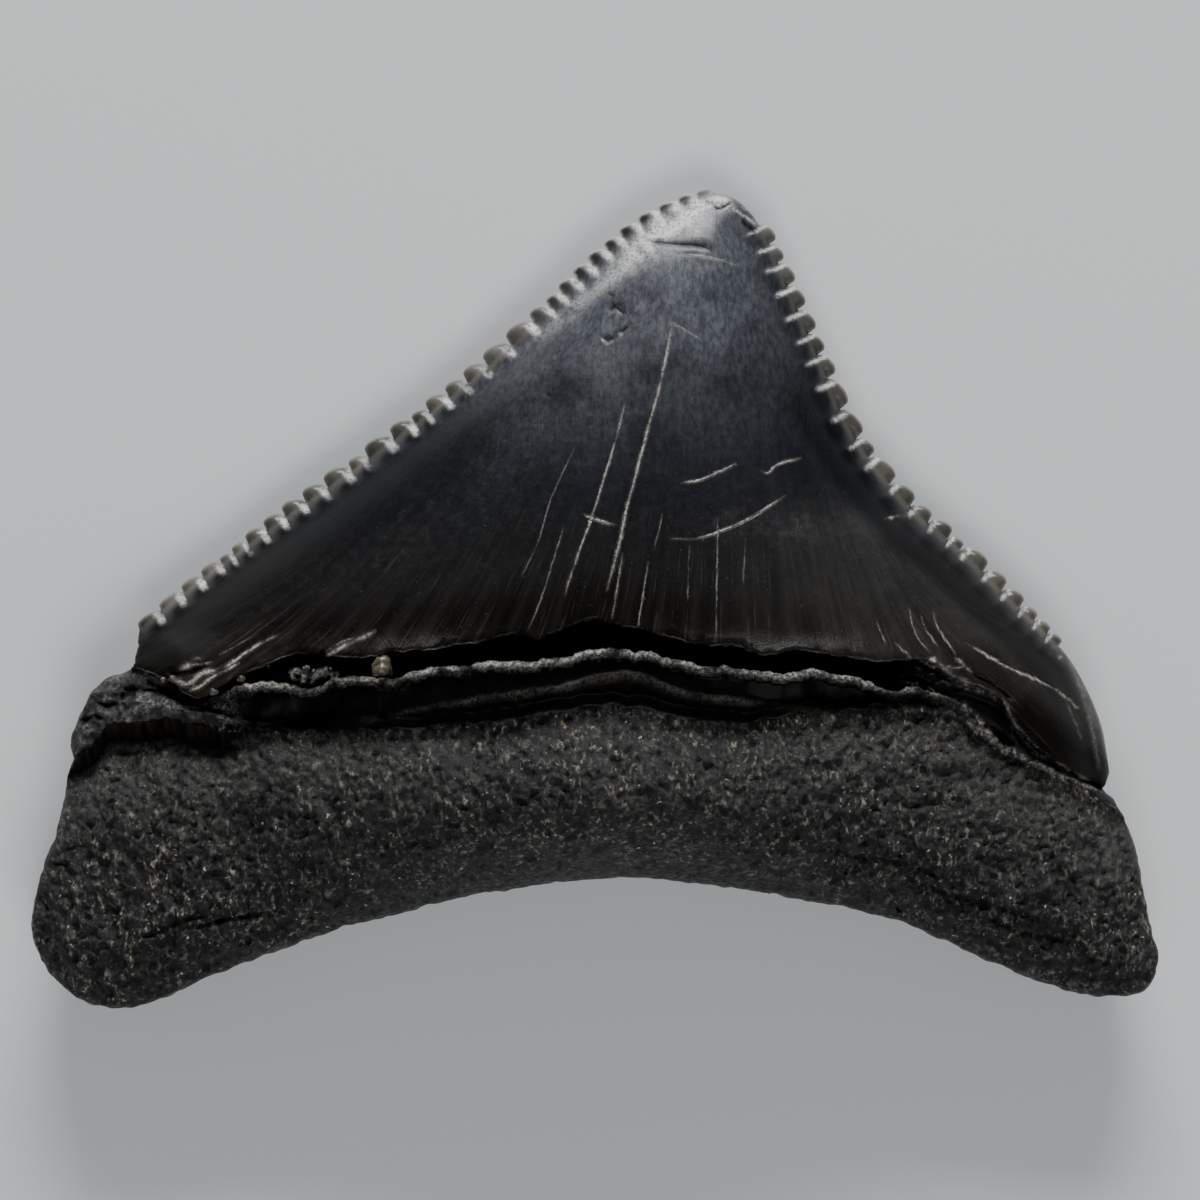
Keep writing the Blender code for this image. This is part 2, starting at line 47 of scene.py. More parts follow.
PHOTO_MIDDLE = (600, 600)

# The blade
EDGE_HEIGHT = 1.5  # the cutting edge above the table
HEEL_RISE = 0.9  # how much higher the cutting edge runs at the crown's two heels
HEEL_RISE_FROM, HEEL_RISE_TO = 3.0, -4.0  # the heights up the tooth between which it climbs
RISE_REACH = 9.0  # how far in from the edges that climb still lifts the face
EDGE_BLUNT = 0.05  # half the thickness of the cutting edge
LEFT_FLANK, RIGHT_FLANK = 0.68, 0.86  # how steeply each flank rises against the other
BLADE_SLOPE = 0.74  # rise of the lingual face per millimetre in from the edge
HEEL_SLOPE = 0.25  # the extra rise at the crown's base
HEEL_SLOPE_FROM, HEEL_SLOPE_TO = -0.5, -5.0  # the heights up the tooth between which it comes in
BLADE_SPAN = 14.0  # the smaller, the sooner that rise tires towards the middle
EDGE_REACH = 3.4  # how far in from the edge the labial face is flat again
EDGE_WORN_OFF = 0.26  # how much wear has rounded off the upper left edge
SWELL, RIPPLE = 0.05, 0.012  # the enamel's broad and fine unevenness
LIP_MARGIN = 0.02  # points this near the lip count as enamel
LIP_WORN_OFF, LIP_CHIPS = 0.04, 0.10  # how much the lip is rounded off and chipped

# The serrations
SERRATION_HEIGHT = 0.40
SERRATION_SKEW = 0.65  # under 1 leans the peaks towards the root
SERRATION_FULLNESS = 0.5  # under 1 makes the knobs full and the notches between them narrow
FULL_WIDTH = 0.85  # a serration narrower than this is lower too
WIDEST = 1.12  # and a wide one stands at most this much higher
HEEL_WEAR = 0.45  # how much of their height the serrations have lost at the heels
HEEL_WEAR_LENGTH = 7.0  # how far up the edge that wear reaches
LEFT_TIP_WEAR = 0.55  # how much the left edge's last serrations have lost beside the tip
LEFT_TIP_WEAR_TO, LEFT_TIP_WEAR_FROM = 1.0, 5.0  # the distances from the tip over which it fades
TIP_WEAR = 2.1  # the worn stretch from the tip down to the first serration of the right edge
KNOB_RISE = 0.17  # how far the knobs bulge out of the face
KNOB_ROUNDING = 0.42  # how far in from the rim they keep rounding
LEFT_GROOVE, RIGHT_GROOVE = 0.6, 0.9  # how far the grooves between serrations run in
LEFT_GROOVE_DEPTH, RIGHT_GROOVE_DEPTH = 0.17, 0.12
LEFT_CREST, RIGHT_CREST = 0.12, 0.07  # how high the knobs stand between those grooves
RIGHT_NUMBERS = 50.0  # added to the right edge's serration numbers, to keep them from the left's

# The root
ROOT_RIM = 0.15  # half the height of the wall at the root's rim
ROOT_RIM_HEIGHT = 2.8  # the root's widest line above the table
ROOT_ROUNDING = 3.3  # how far in from the rim the root's lingual face keeps rounding
ROOT_LEVEL = 5.9  # the root's height away from its middle bulge
ROOT_DROOP = 0.0045  # how fast that height falls off towards the lobes, per millimetre squared
TORUS_RISE = 2.7  # the bulge on the middle of the root
TORUS_HALF_WIDTH = 9.5
TORUS_HALF_HEIGHT = 3.2
TORUS_Y = -6.6
LUMPS = [(2.6, 0.17), (1.1, 0.11)]  # the root's broad unevenness: sizes and heights
GRAIN_SIZE, GRAIN_HEIGHT = 0.3, 0.10
PIT_DEPTH, LOBE_PIT_DEPTH = 0.05, 0.05  # the second is added on the lobes
PORE_DEPTH = 0.10
ROOT_RELIEF_SETBACK = 0.16  # keeps the grains' tops at the solid's surface
LEDGE_HEIGHT = 0.22
LEDGE_FOOT = 0.25
LEDGE_REACH = 2.0

# The crack, the band below it and the broken corner block
GAP_DEPTH = 1.3
GAP_END_DEPTH = 0.45
GAP_LEFT_END, GAP_RIGHT_END = -8.9, 10.3  # between them the crack is at full depth
GAP_FADE = 1.0
GAP_WALL = 0.07  # how wide the wall is that drops from the broken rim into the crack
RIDGE_DROP = 0.25  # the broken rim below the crack, under the enamel's level
RIDGE_WIDTH = 0.26
BAND_DROP = 0.4  # the band's upper part, just under that rim
BAND_FOOT = 0.5  # how far up from the bare root the band keeps falling away
BAND_END_X = 12.9  # right of this the enamel meets the bare root in one step
BAND_FADE = 1.4
THIRD_RISE = 0.07  # the faint line on the band
HEEL_STEP = 0.3  # at the right heel the root starts this much below the enamel
HEEL_REACH = 0.7
HEEL_LEFT_X, HEEL_RIGHT_X = 9.8, 10.8  # the broken heel comes in between these
BLOCK_STEP = 0.9  # the corner block above the root below it
BLOCK_WALL = 0.55  # how wide the wall is between them
BLOCK_FOOT = 1.1  # how far down the root that step dies away
BLOCK_END_X = -12.4  # the broken corner block lies left of this
BLOCK_FADE = 0.8
DEBRIS_FILL = 0.75  # how much of the crack the debris fills, in millimetres of its depth
PLATE_HOLLOW = 0.3  # the hollow above the corner block's flat front

# The labial face
LABIAL_HOLLOW = 0.9  # above the table, between the spots that it rests on
LABIAL_ROUNDING = 2.6
LABIAL_ENAMEL = 0.2  # the enamel stands this far out from the root
LABIAL_BLEND = 0.6  # half the width over which the blade's under face passes into the root's
LOBE_RESTS = [(-15.2, -9.4, 5.2), (15.6, -9.6, 5.2)]  # where it rests under each lobe: x, y, spread
BLADE_REST = (2.9, 7.6, 6.0)
LOBE_REST_DEPTH = 1.06

# The cutting edge, in millimetres, and the widths of its serrations
LEFT_EDGE = [
    (-15.95, -1.1), (-14.4, 0.2), (-12.85, 1.4), (-11.0, 2.75), (-9.5, 3.8), (-8.1, 4.8), (-6.5, 6.0),
    (-4.75, 7.35), (-3.25, 8.6), (-1.95, 9.85), (-0.7, 11.1), (0.55, 12.3), (1.8, 13.3), (3.0, 13.95),
    (4.1, 14.25),
]  # fmt: skip
RIGHT_EDGE = [
    (4.1, 14.25), (4.9, 14.0), (5.55, 13.4), (6.05, 12.5), (6.5, 11.5), (7.2, 9.85), (7.9, 8.3),
    (8.65, 6.5), (9.55, 5.0), (11.1, 3.15), (12.65, 1.85), (14.3, 0.2), (15.5, -0.95), (16.5, -2.0),
    (17.2, -3.2), (17.7, -4.45), (17.9, -5.5), (18.0, -6.2),
]  # fmt: skip
# Where those edges would run on below the crown, outermost first; the flanks rise from these too
LEFT_EDGE_BELOW = [(-23.0, -12.0), (-19.6, -4.4)]
RIGHT_EDGE_BELOW = [(19.6, -14.0), (18.7, -9.0)]
LEFT_SERRATIONS = [
    0.98, 1.0, 0.88, 0.8, 0.54, 0.62, 0.8, 0.81, 0.88, 0.91, 1.05, 0.72, 1.13, 0.91, 0.65, 0.87, 0.83,
    0.9, 1.1, 1.14, 0.78, 0.63, 0.73, 0.73, 0.73, 0.68, 0.78, 0.81, 0.75, 0.71, 0.67,
]  # fmt: skip
RIGHT_SERRATIONS = [
    0.78, 0.71, 0.87, 0.91, 0.92, 0.81, 0.89, 1.18, 1.18, 0.8, 1.2, 1.04, 0.86, 0.9, 0.58, 1.1, 0.93,
    0.86, 0.68, 0.64, 0.58,
]  # fmt: skip
ROOT_RIM_LINE = [
    (17.8, -6.6), (18.25, -7.1), (18.75, -8.35), (19.15, -9.95), (19.5, -11.7), (19.7, -12.35),
    (19.65, -12.95), (19.35, -13.55), (18.7, -13.9), (17.6, -13.95), (16.3, -13.7), (13.5, -12.6),
    (10.7, -11.4), (7.2, -10.55), (3.0, -9.95), (0.5, -9.8), (-1.95, -10.05), (-4.75, -10.55),
    (-7.5, -11.2), (-10.35, -12.1), (-13.3, -13.2), (-15.05, -14.0), (-16.8, -14.35), (-18.3, -13.85),
    (-19.35, -12.65), (-19.7, -11.35), (-19.4, -9.8), (-18.8, -8.05), (-18.4, -6.2), (-18.25, -5.6),
]  # fmt: skip
BLOCK_RIM_LINE = [
    (-18.4, -5.15), (-18.25, -4.65), (-17.8, -3.6), (-17.4, -3.1), (-16.9, -2.7), (-16.25, -2.4),
    (-16.15, -2.05), (-16.0, -1.65),
]  # fmt: skip
LABIAL_LINE = [
    (-20.0, -4.6), (-17.0, -4.3), (-9.0, -4.4), (0.5, -3.4), (9.0, -4.6), (17.0, -6.3), (20.0, -6.7),
]  # fmt: skip
LEFT_LEDGE = [(-14.5, -11.9), (-12.5, -11.55), (-10.5, -10.9)]
RIGHT_LEDGE = [(8.4, -8.6), (10.4, -9.15), (13.0, -10.3), (15.5, -11.2), (17.4, -11.9)]

# Lines across the lingual face, in pixels of the photograph
LIP_PIXELS = [
    (24, 667), (131, 668), (150, 671), (172, 678), (188, 690), (205, 697), (222, 688), (240, 677), (262, 667),
    (291, 655), (308, 653), (352, 656), (375, 656), (390, 652), (413, 650), (436, 649), (459, 643),
    (491, 641), (496, 637), (520, 634), (539, 638), (553, 633), (572, 625), (590, 620), (600, 620),
    (614, 624), (636, 627), (650, 632), (673, 637), (700, 644), (734, 645), (747, 651), (767, 654),
    (788, 650), (808, 651), (855, 658), (883, 660), (913, 658), (930, 662), (945, 673), (965, 682),
    (991, 692), (1001, 709), (1010, 724), (1028, 742), (1044, 754), (1070, 772), (1104, 787), (1166, 815),
]  # fmt: skip
RIDGE_PIXELS = [
    (24, 692), (138, 692), (203, 701), (215, 696), (234, 690), (242, 685), (262, 682), (284, 682), (301, 685),
    (312, 688), (324, 684), (341, 677), (368, 676), (398, 678), (415, 671), (446, 666), (469, 666),
    (492, 661), (532, 661), (545, 658), (568, 657), (580, 652), (596, 649), (614, 648), (631, 651),
    (651, 652), (660, 656), (682, 660), (700, 666), (718, 665), (734, 668), (764, 671), (782, 673),
    (800, 669), (809, 667), (826, 673), (849, 675), (868, 683), (893, 692), (905, 686), (927, 692),
    (948, 699), (961, 707), (974, 721), (988, 736), (1003, 748), (1040, 764), (1100, 797), (1166, 824),
]  # fmt: skip
GRAIN_PIXELS = [
    (24, 758), (72, 756), (88, 750), (100, 738), (112, 724), (130, 720), (160, 719), (200, 722), (240, 730),
    (300, 732), (350, 729),
    (407, 728), (484, 721), (541, 713), (600, 704), (638, 706), (695, 717), (745, 721), (791, 714),
    (849, 711), (900, 709), (940, 712), (960, 722), (988, 742), (1003, 753), (1040, 769), (1100, 800),
    (1166, 827),
]  # fmt: skip
PLATE_TOP_PIXELS = [
    (24, 735), (85, 713), (110, 706), (140, 698), (160, 694), (190, 702), (215, 710), (237, 718), (260, 724),
]  # fmt: skip
THIRD_PIXELS = [
    (300, 722), (380, 716), (440, 704), (484, 696), (512, 692), (541, 688), (570, 684), (589, 677),
    (605, 674), (625, 672), (644, 675), (659, 682), (680, 690), (695, 694), (718, 696), (745, 698),
    (800, 705), (860, 708),
]  # fmt: skip
THIRD_LEFT, THIRD_RIGHT = -7.5, 7.5  # the faint third line shows between these

# Scratches and hairlines of the enamel: width in millimetres, strength, then pixels of the photograph
SCRATCHES = [
    (0.07, 1.0, [
        (672, 324), (668, 345), (660, 385), (647, 432), (635, 478), (626, 511), (618, 548), (607, 590),
    ]),
    (0.05, 0.7, [(622, 556), (612, 618)]),
    (0.055, 0.9, [(625, 403), (616, 440), (606, 473), (593, 515), (581, 548), (571, 577), (566, 594)]),
    (0.07, 0.8, [(585, 517), (614, 526)]),
    (0.055, 0.6, [(672, 324), (700, 341)]),
    (0.07, 0.65, [(654, 251), (678, 255), (700, 257), (716, 260), (736, 266)]),
    (0.065, 0.8, [(683, 484), (700, 481), (733, 466)]),
    (0.065, 0.8, [(758, 472), (767, 474), (775, 466), (799, 459)]),
    (0.06, 0.7, [(670, 540), (700, 538), (740, 523), (783, 497)]),
    (0.05, 0.6, [(884, 519), (918, 513)]),
    (0.035, 0.45, [(576, 447), (551, 502), (540, 540), (524, 575)]),
    (0.035, 0.5, [(564, 529), (551, 571), (541, 602), (530, 628)]),
    (0.035, 0.45, [(662, 515), (654, 548)]),
    (0.04, 0.6, [(647, 565), (637, 627)]),
    (0.035, 0.4, [(688, 545), (686, 600)]),
    (0.035, 0.5, [(716, 523), (714, 635)]),
    (0.035, 0.45, [(743, 544), (741, 585)]),
    (0.055, 0.9, [(961, 642), (984, 656), (1009, 669), (1039, 682), (1057, 692), (1076, 708)]),
    (0.04, 0.6, [(891, 642), (907, 658)]),
    (0.04, 0.6, [(917, 615), (923, 631), (934, 646)]),
    (0.04, 0.6, [(930, 612), (934, 627), (951, 654)]),
    (0.035, 0.5, [(905, 608), (912, 634), (926, 654)]),
    (0.035, 0.5, [(873, 623), (881, 642)]),
    (0.07, 0.9, [(222, 669), (234, 664), (250, 652), (265, 643), (282, 634)]),
    (0.035, 0.4, [(224, 654), (244, 643), (258, 635)]),
    (0.16, 1.0, [(186, 668), (196, 665)]),
    (0.05, 0.6, [(196, 665), (206, 663), (217, 661)]),
    (0.10, 0.35, [(198, 658), (207, 657)]),
    (0.12, 0.9, [(176, 677), (188, 682), (197, 681), (206, 673), (222, 669)]),
    (0.09, 0.7, [(196, 689), (206, 685), (216, 677), (230, 670), (244, 662)]),
    (0.16, 0.9, [(296, 670), (306, 668), (318, 670)]),
    (0.11, 0.8, [(321, 664), (332, 655), (345, 647), (356, 642), (366, 637), (376, 632)]),
    (0.05, 0.6, [(331, 650), (345, 642), (358, 637)]),
    (0.16, 1.0, [(924, 658), (931, 659)]),
    (0.10, 0.6, [(912, 657), (924, 663), (936, 668)]),
    (0.16, 0.8, [(933, 663), (943, 673), (955, 680), (970, 687), (984, 692), (994, 697)]),
    (0.12, 0.4, [(994, 697), (1001, 705), (1004, 714), (1008, 722), (1018, 736), (1030, 748)]),
    (0.05, 0.6, [(602, 343), (608, 345), (616, 341)]),
    (0.05, 0.5, [(619, 338), (629, 331)]),
    (0.05, 0.5, [(608, 317), (615, 312)]),
    (0.11, 1.0, [(731, 207), (741, 213), (751, 220), (761, 226)]),
    (0.06, 0.7, [(741, 206), (756, 214), (766, 226)]),
    (0.10, 0.55, [(951, 657), (958, 663), (966, 671)]),
    (0.06, 0.5, [(940, 665), (953, 667), (962, 664)]),
    (0.12, 0.30, [(1046, 758), (1060, 766), (1075, 774), (1088, 781)]),
    (0.12, 0.35, [(1026, 745), (1034, 753), (1045, 757)]),
    (0.14, 1.0, [(1057, 656), (1060, 658)]),
    (0.16, 0.18, [(1068, 662), (1080, 690), (1088, 720), (1094, 750), (1098, 770)]),
    (0.10, 0.14, [(1076, 676), (1088, 706), (1095, 730)]),
    (0.05, 0.25, [(1062, 700), (1070, 718), (1078, 738)]),
]  # fmt: skip
SCRATCH_DEPTH = 0.03

# Small hollows: depth, half-width, then pixels along them
DENTS = [
    (0.10, 0.08, [(649, 241), (663, 243), (680, 245), (695, 246), (709, 250)]),
    (0.05, 0.09, [(741, 220), (750, 227), (762, 233)]),
    (0.07, 0.08, [(602, 338), (608, 341), (615, 337)]),
    (0.06, 0.07, [(618, 334), (624, 331), (628, 327)]),
    (0.07, 0.08, [(609, 312), (615, 307), (622, 305)]),
    (0.05, 0.06, [(612, 304), (619, 311), (624, 315)]),
    (0.05, 0.05, [(609, 294), (614, 297)]),
    (0.04, 0.08, [(546, 395), (552, 396)]),
    (0.07, 0.05, [(713, 204), (717, 208), (723, 207), (732, 202)]),
    (0.25, 0.10, [
        (134, 665), (145, 674), (157, 681), (167, 683), (173, 676), (188, 672), (203, 669), (214, 665),
    ]),
    (0.15, 0.07, [(299, 674), (306, 666), (318, 658), (330, 651)]),
    (0.15, 0.06, [(968, 674), (985, 682), (999, 692), (1006, 700)]),
]  # fmt: skip

# Crevices of the broken corner and of the heel, below the enamel: depth, half-width, pixels
CREVICES = [
    (0.45, 0.11, [(160, 686), (172, 693), (186, 700), (200, 701), (210, 692), (224, 684), (238, 678)]),
    (0.35, 0.17, [(123, 696), (132, 692), (141, 690)]),
    (0.20, 0.07, [(141, 692), (156, 690), (170, 694), (182, 701), (196, 707), (214, 708), (236, 713)]),
    (0.18, 0.08, [(98, 700), (108, 704), (122, 702)]),
    (0.22, 0.08, [(84, 722), (96, 716), (108, 717)]),
    (0.20, 0.10, [(150, 680), (160, 686)]),
    (0.25, 0.09, [(1012, 724), (1026, 740), (1042, 751), (1060, 761), (1080, 773), (1102, 786)]),
    (0.18, 0.10, [(897, 676), (915, 680), (930, 686)]),
    (0.15, 0.11, [(952, 694), (972, 700), (990, 708), (1000, 722)]),
    (0.12, 0.07, [(985, 726), (996, 737), (1006, 744)]),
]  # fmt: skip
# Tan crumbs and worn corners of the broken block: half-width, strength, pixels
CRUMBS = [
    (0.13, 0.45, [(88, 713), (100, 713), (113, 712), (125, 706)]),
    (0.12, 0.50, [(145, 694), (153, 692)]),
    (0.15, 0.45, [(131, 714), (135, 716)]),
    (0.10, 0.60, [(163, 676), (168, 679)]),
    (0.12, 0.45, [(83, 736), (86, 742)]),
    (0.16, 0.25, [(100, 686), (110, 678), (124, 676)]),
    (0.16, 0.22, [(74, 728), (80, 722)]),
    (0.20, 0.15, [(150, 705), (175, 708), (200, 710)]),
    (0.09, 0.65, [(950, 700), (965, 711), (977, 724), (988, 736), (1000, 746), (1012, 751)]),
    (0.07, 0.45, [(1012, 752), (1040, 766), (1075, 781), (1100, 790)]),
]  # fmt: skip
HEEL_SHADE_PIXELS = [(1008, 694), (1030, 714), (1052, 728), (1070, 742), (1086, 758), (1097, 772)]
# The bright patch beside the tip, partly whitish wear and partly painted highlight, and the fainter wear and
# highlight down the left edge from it
GLOW_PIXELS = [
    (520, 352), (548, 330), (578, 304), (612, 276), (640, 250), (668, 224), (698, 206), (722, 200),
]  # fmt: skip

# Grooves and cracks of the root: depth, half-width, pixels
ROOT_CRACKS = [
    (0.22, 0.10, [(196, 925), (222, 917), (255, 912), (292, 907)]),
    (0.16, 0.09, [(150, 935), (170, 925), (196, 915), (214, 913)]),
    (0.18, 0.10, [(828, 846), (860, 854), (900, 860), (935, 873)]),
    (0.16, 0.10, [(905, 877), (950, 893), (990, 903), (1040, 917)]),
    (0.12, 0.08, [(985, 915), (1020, 930), (1075, 940)]),
    (0.14, 0.09, [(888, 800), (905, 803), (930, 800), (962, 807)]),
]  # fmt: skip

# Where broken enamel and sediment are packed into the crack: half-width, pixels
DEBRIS = [
    (0.17, [(298, 674), (308, 677), (320, 677)]),
    (0.13, [(324, 669), (332, 673), (342, 674)]),
    (0.16, [(382, 673), (392, 674)]),
]  # fmt: skip
# Grains of sediment lodged in the crack: pixel, size, how far below the enamel's level, kind
LODGED = [
    ((387, 667), 0.36, 0.40, "amber"),
    ((303, 673), 0.20, 0.50, "pale"),
    ((311, 668), 0.14, 0.45, "pale"),
    ((320, 672), 0.13, 0.45, "pale"),
    ((329, 674), 0.16, 0.40, "amber"),
    ((334, 669), 0.10, 0.40, "pale"),
    ((246, 677), 0.15, 0.30, "amber"),
    ((219, 690), 0.15, 0.12, "pale"),
    ((178, 678), 0.13, 0.05, "pale"),
    ((168, 679), 0.10, 0.05, "amber"),
]  # fmt: skip
GRAIN_RELIEF = 0.45  # how uneven a grain is, as a share of its size

# How finely the surface is cut
CURVE_STEP, FINE_CURVE_STEP = 0.1, 0.02
ROOT_CURVE_STEP, SCRATCH_CURVE_STEP = 0.04, 0.16
RIM_STEP = 0.11
SERRATION_STEPS = 13
LATTICE_X, LATTICE_Y = 20, 15  # the lattices reach this far either way
EDGE_LATTICE, ROOT_LATTICE, CROWN_LATTICE = 0.085, 0.092, 0.19
LABIAL_EDGE_LATTICE, LABIAL_LATTICE = 0.13, 0.26
EDGE_ZONE = 1.0
LINE_STEP = 0.075
LINE_LEFT, LINE_RIGHT = -16.5, 18  # rows of points follow the lip and the broken rim between these
LIP_ROWS = (0.0, -0.05, 0.05, -0.11, 0.14)
RIDGE_ROWS = (0.0, 0.07, -0.15, -0.25)
SCRATCH_ROWS = (0, -0.75, 0.75, -1.7, 1.7)  # in widths of the scratch
# How clear the points of each kind keep of those already there
ROW_GAP, EDGE_GAP, ROOT_GAP, CROWN_GAP = 0.03, 0.045, 0.05, 0.09
LABIAL_EDGE_GAP, LABIAL_GAP = 0.06, 0.13


def from_photo(pixels):
    """Pixels of the photograph as millimetres on the tooth."""
    x, y = np.array(pixels, float).T
    return np.column_stack([x - PHOTO_ORIGIN[0], PHOTO_ORIGIN[1] - y]) * PIXEL


LIP_LINE, RIDGE_LINE = from_photo(LIP_PIXELS), from_photo(RIDGE_PIXELS)
GRAIN_LINE, THIRD_LINE = from_photo(GRAIN_PIXELS), from_photo(THIRD_PIXELS)
PLATE_TOP_LINE = from_photo(PLATE_TOP_PIXELS)


def smooth_curve(points, step):
    """Points a step apart along a curve through the given points."""
    p = [np.array(q, float) for q in points]
    p = [2 * p[0] - p[1], *p, 2 * p[-1] - p[-2]]
    found = []
    for a, b, c, d in zip(p, p[1:], p[2:], p[3:]):
        count = max(2, math.ceil(np.linalg.norm(c - b) / step))
        for t in np.arange(count) / count:
            square = (2 * a - 5 * b + 4 * c - d) * t**2
            cube = (3 * b - a - 3 * c + d) * t**3
            found.append(0.5 * (2 * b + (c - a) * t + square + cube))
    return np.array([*found, p[-2]])


def leftward(steps):
    """Unit vectors to the left of a line's run, from its steps."""
    ahead = steps / np.linalg.norm(steps, axis=1)[:, None]
    return np.column_stack([-ahead[:, 1], ahead[:, 0]])


def smooth_step(low, high, value):
    """Eases from nought at low to one at high, and low may be the greater."""
    t = np.clip((value - low) / (high - low), 0, 1)
    return t * t * (3 - 2 * t)


def bell(distance, half_width):
    """One at no distance, falling off smoothly past the half-width."""
    return np.exp(-((distance / half_width) ** 2))


def rounded(distance, radius):
    """The arch of a quarter circle, from nought at its foot to one a radius in."""
    return np.sqrt(1 - (1 - np.clip(distance / radius, 0, 1)) ** 2)


def wave(x, y, size, seed):
    """Smooth noise, mostly within half a unit of nought, with features of about that size."""
    return np.array([noise.noise(Vector((a, b, seed))) for a, b in zip(x / size, y / size)])


def patchy(x, y, size, seed, middle, swing, least=0):
    """A share that varies about its middle value in patches of about that size, from least to one."""
    return np.clip(middle + swing * wave(x, y, size, seed), least, 1)


def from_centres(x, y, size, seed):
    """Distance from each point to the nearest of scattered centres, in their spacings."""
    return np.array([noise.voronoi(Vector((a, b, seed)))[0][0] for a, b in zip(x / size, y / size)])


def line_height(line, x):
    """The height of a line across the face, at each x."""
    curve = smooth_curve(line, CURVE_STEP)
    return np.interp(x, curve[:, 0], curve[:, 1])


def nearest(samples, x, y):
    """The closest sample to each point, as its index and its distance."""
    tree = kdtree.KDTree(len(samples))
    for i, (a, b) in enumerate(samples):
        tree.insert((a, b, 0), i)
    tree.balance()
    found = [tree.find((a, b, 0)) for a, b in zip(x, y)]
    return np.array([f[1] for f in found]), np.array([f[2] for f in found])


def near_line(pixels, x, y, reach):
    """Distance from each point to a line of pixels, capped at reach, and how far along it, 0 to 1."""
    line = smooth_curve(from_photo(pixels), FINE_CURVE_STEP)
    found, along = np.full(len(x), reach), np.zeros(len(x))
    low, high = line.min(0) - reach, line.max(0) + reach
    close = np.flatnonzero((x > low[0]) & (x < high[0]) & (y > low[1]) & (y < high[1]))
    index, distance = nearest(line, x[close], y[close])
    found[close] = np.minimum(distance, reach)
    along[close] = index / (len(line) - 1)
    return found, along


def stroke(pixels, x, y, half_width, reach):
    """A soft stroke along a line of pixels, one on it and nought past reach, and how far along it."""
    distance, along = near_line(pixels, x, y, reach)
    return bell(distance, half_width) * (distance < reach), along


def inside(loop, x, y):
    """Whether each point is inside a closed outline."""
    found = np.zeros(len(x), bool)
    for (ax, ay), (bx, by) in zip(loop, np.roll(loop, -1, axis=0)):
        if ay != by:
            found ^= ((ay > y) != (by > y)) & (x < (bx - ax) * (y - ay) / (by - ay) + ax)
    return found


class Edge:
    """One side of the cutting edge: its smooth line and the knobs that stand on it."""

    def __init__(self, points, widths, start, from_root):
        self.line = smooth_curve(points, FINE_CURVE_STEP)
        self.along = np.concatenate([[0], np.cumsum(np.linalg.norm(np.diff(self.line, axis=0), axis=1))])
        self.notches = start + np.concatenate([[0], np.cumsum(widths)])
        self.widths, self.from_root = widths, from_root
        steps = np.gradient(self.line, axis=0)
        steps = np.column_stack([np.convolve(steps[:, i], np.ones(25) / 25, "same") for i in (0, 1)])
        self.outward = leftward(steps)

    def knob(self, place):
        """At a place along the line: its knob's height, its profile, which knob, and how far over it."""
        i = int(np.searchsorted(self.notches, place, "right")) - 1
        if i < 0 or i >= len(self.widths):
            return 0.0, 0.0, -1, 0.0
        phase = (place - self.notches[i]) / self.widths[i]
        phase = phase if self.from_root else 1 - phase
        profile = max(math.sin(math.pi * phase**SERRATION_SKEW), 0) ** SERRATION_FULLNESS
        from_heel = place if self.from_root else self.along[-1] - place
        wear = 1 - HEEL_WEAR * smooth_step(HEEL_WEAR_LENGTH, 0, from_heel)
        if self.from_root:
            from_tip = self.along[-1] - place
            wear *= 1 - LEFT_TIP_WEAR * smooth_step(LEFT_TIP_WEAR_FROM, LEFT_TIP_WEAR_TO, from_tip)
        height = SERRATION_HEIGHT * min(WIDEST, self.widths[i] / FULL_WIDTH) * wear * profile
        return height, profile, i, phase

    def rim(self):
        """The serrated line itself."""
        places = [np.arange(0, self.notches[0], RIM_STEP)]
        for a, b in zip(self.notches, self.notches[1:]):
            places.append(a + (b - a) * np.arange(SERRATION_STEPS) / SERRATION_STEPS)
        places.append(np.arange(self.notches[-1], self.along[-1] - RIM_STEP / 2, RIM_STEP))
        places = np.concatenate(places)
        line, outward = (
            np.column_stack([np.interp(places, self.along, part[:, i]) for i in (0, 1)])
            for part in (self.line, self.outward)
        )
        heights = np.array([self.knob(place)[0] for place in places])
        return line + outward * heights[:, None]


LEFT = Edge(LEFT_EDGE, LEFT_SERRATIONS, 0.0, True)
RIGHT = Edge(RIGHT_EDGE, RIGHT_SERRATIONS, TIP_WEAR, False)


def outlines():
    """The whole rim as one closed loop, and which of its points are on the crown's cutting edge."""
    blade = np.concatenate([LEFT.rim(), RIGHT.rim()])
    root = np.concatenate([smooth_curve(ROOT_RIM_LINE, RIM_STEP), smooth_curve(BLOCK_RIM_LINE, RIM_STEP)])
    x, y = root.T
    setback = 0.05 + 0.07 * wave(x, y, 0.35, 1.5) + 0.06 * wave(x, y, 0.8, 2.5)
    root = root - leftward(np.gradient(root, axis=0)) * np.clip(setback, 0, 0.2)[:, None]
    loop = np.concatenate([blade, root])
    return loop, np.arange(len(loop)) < len(blade)


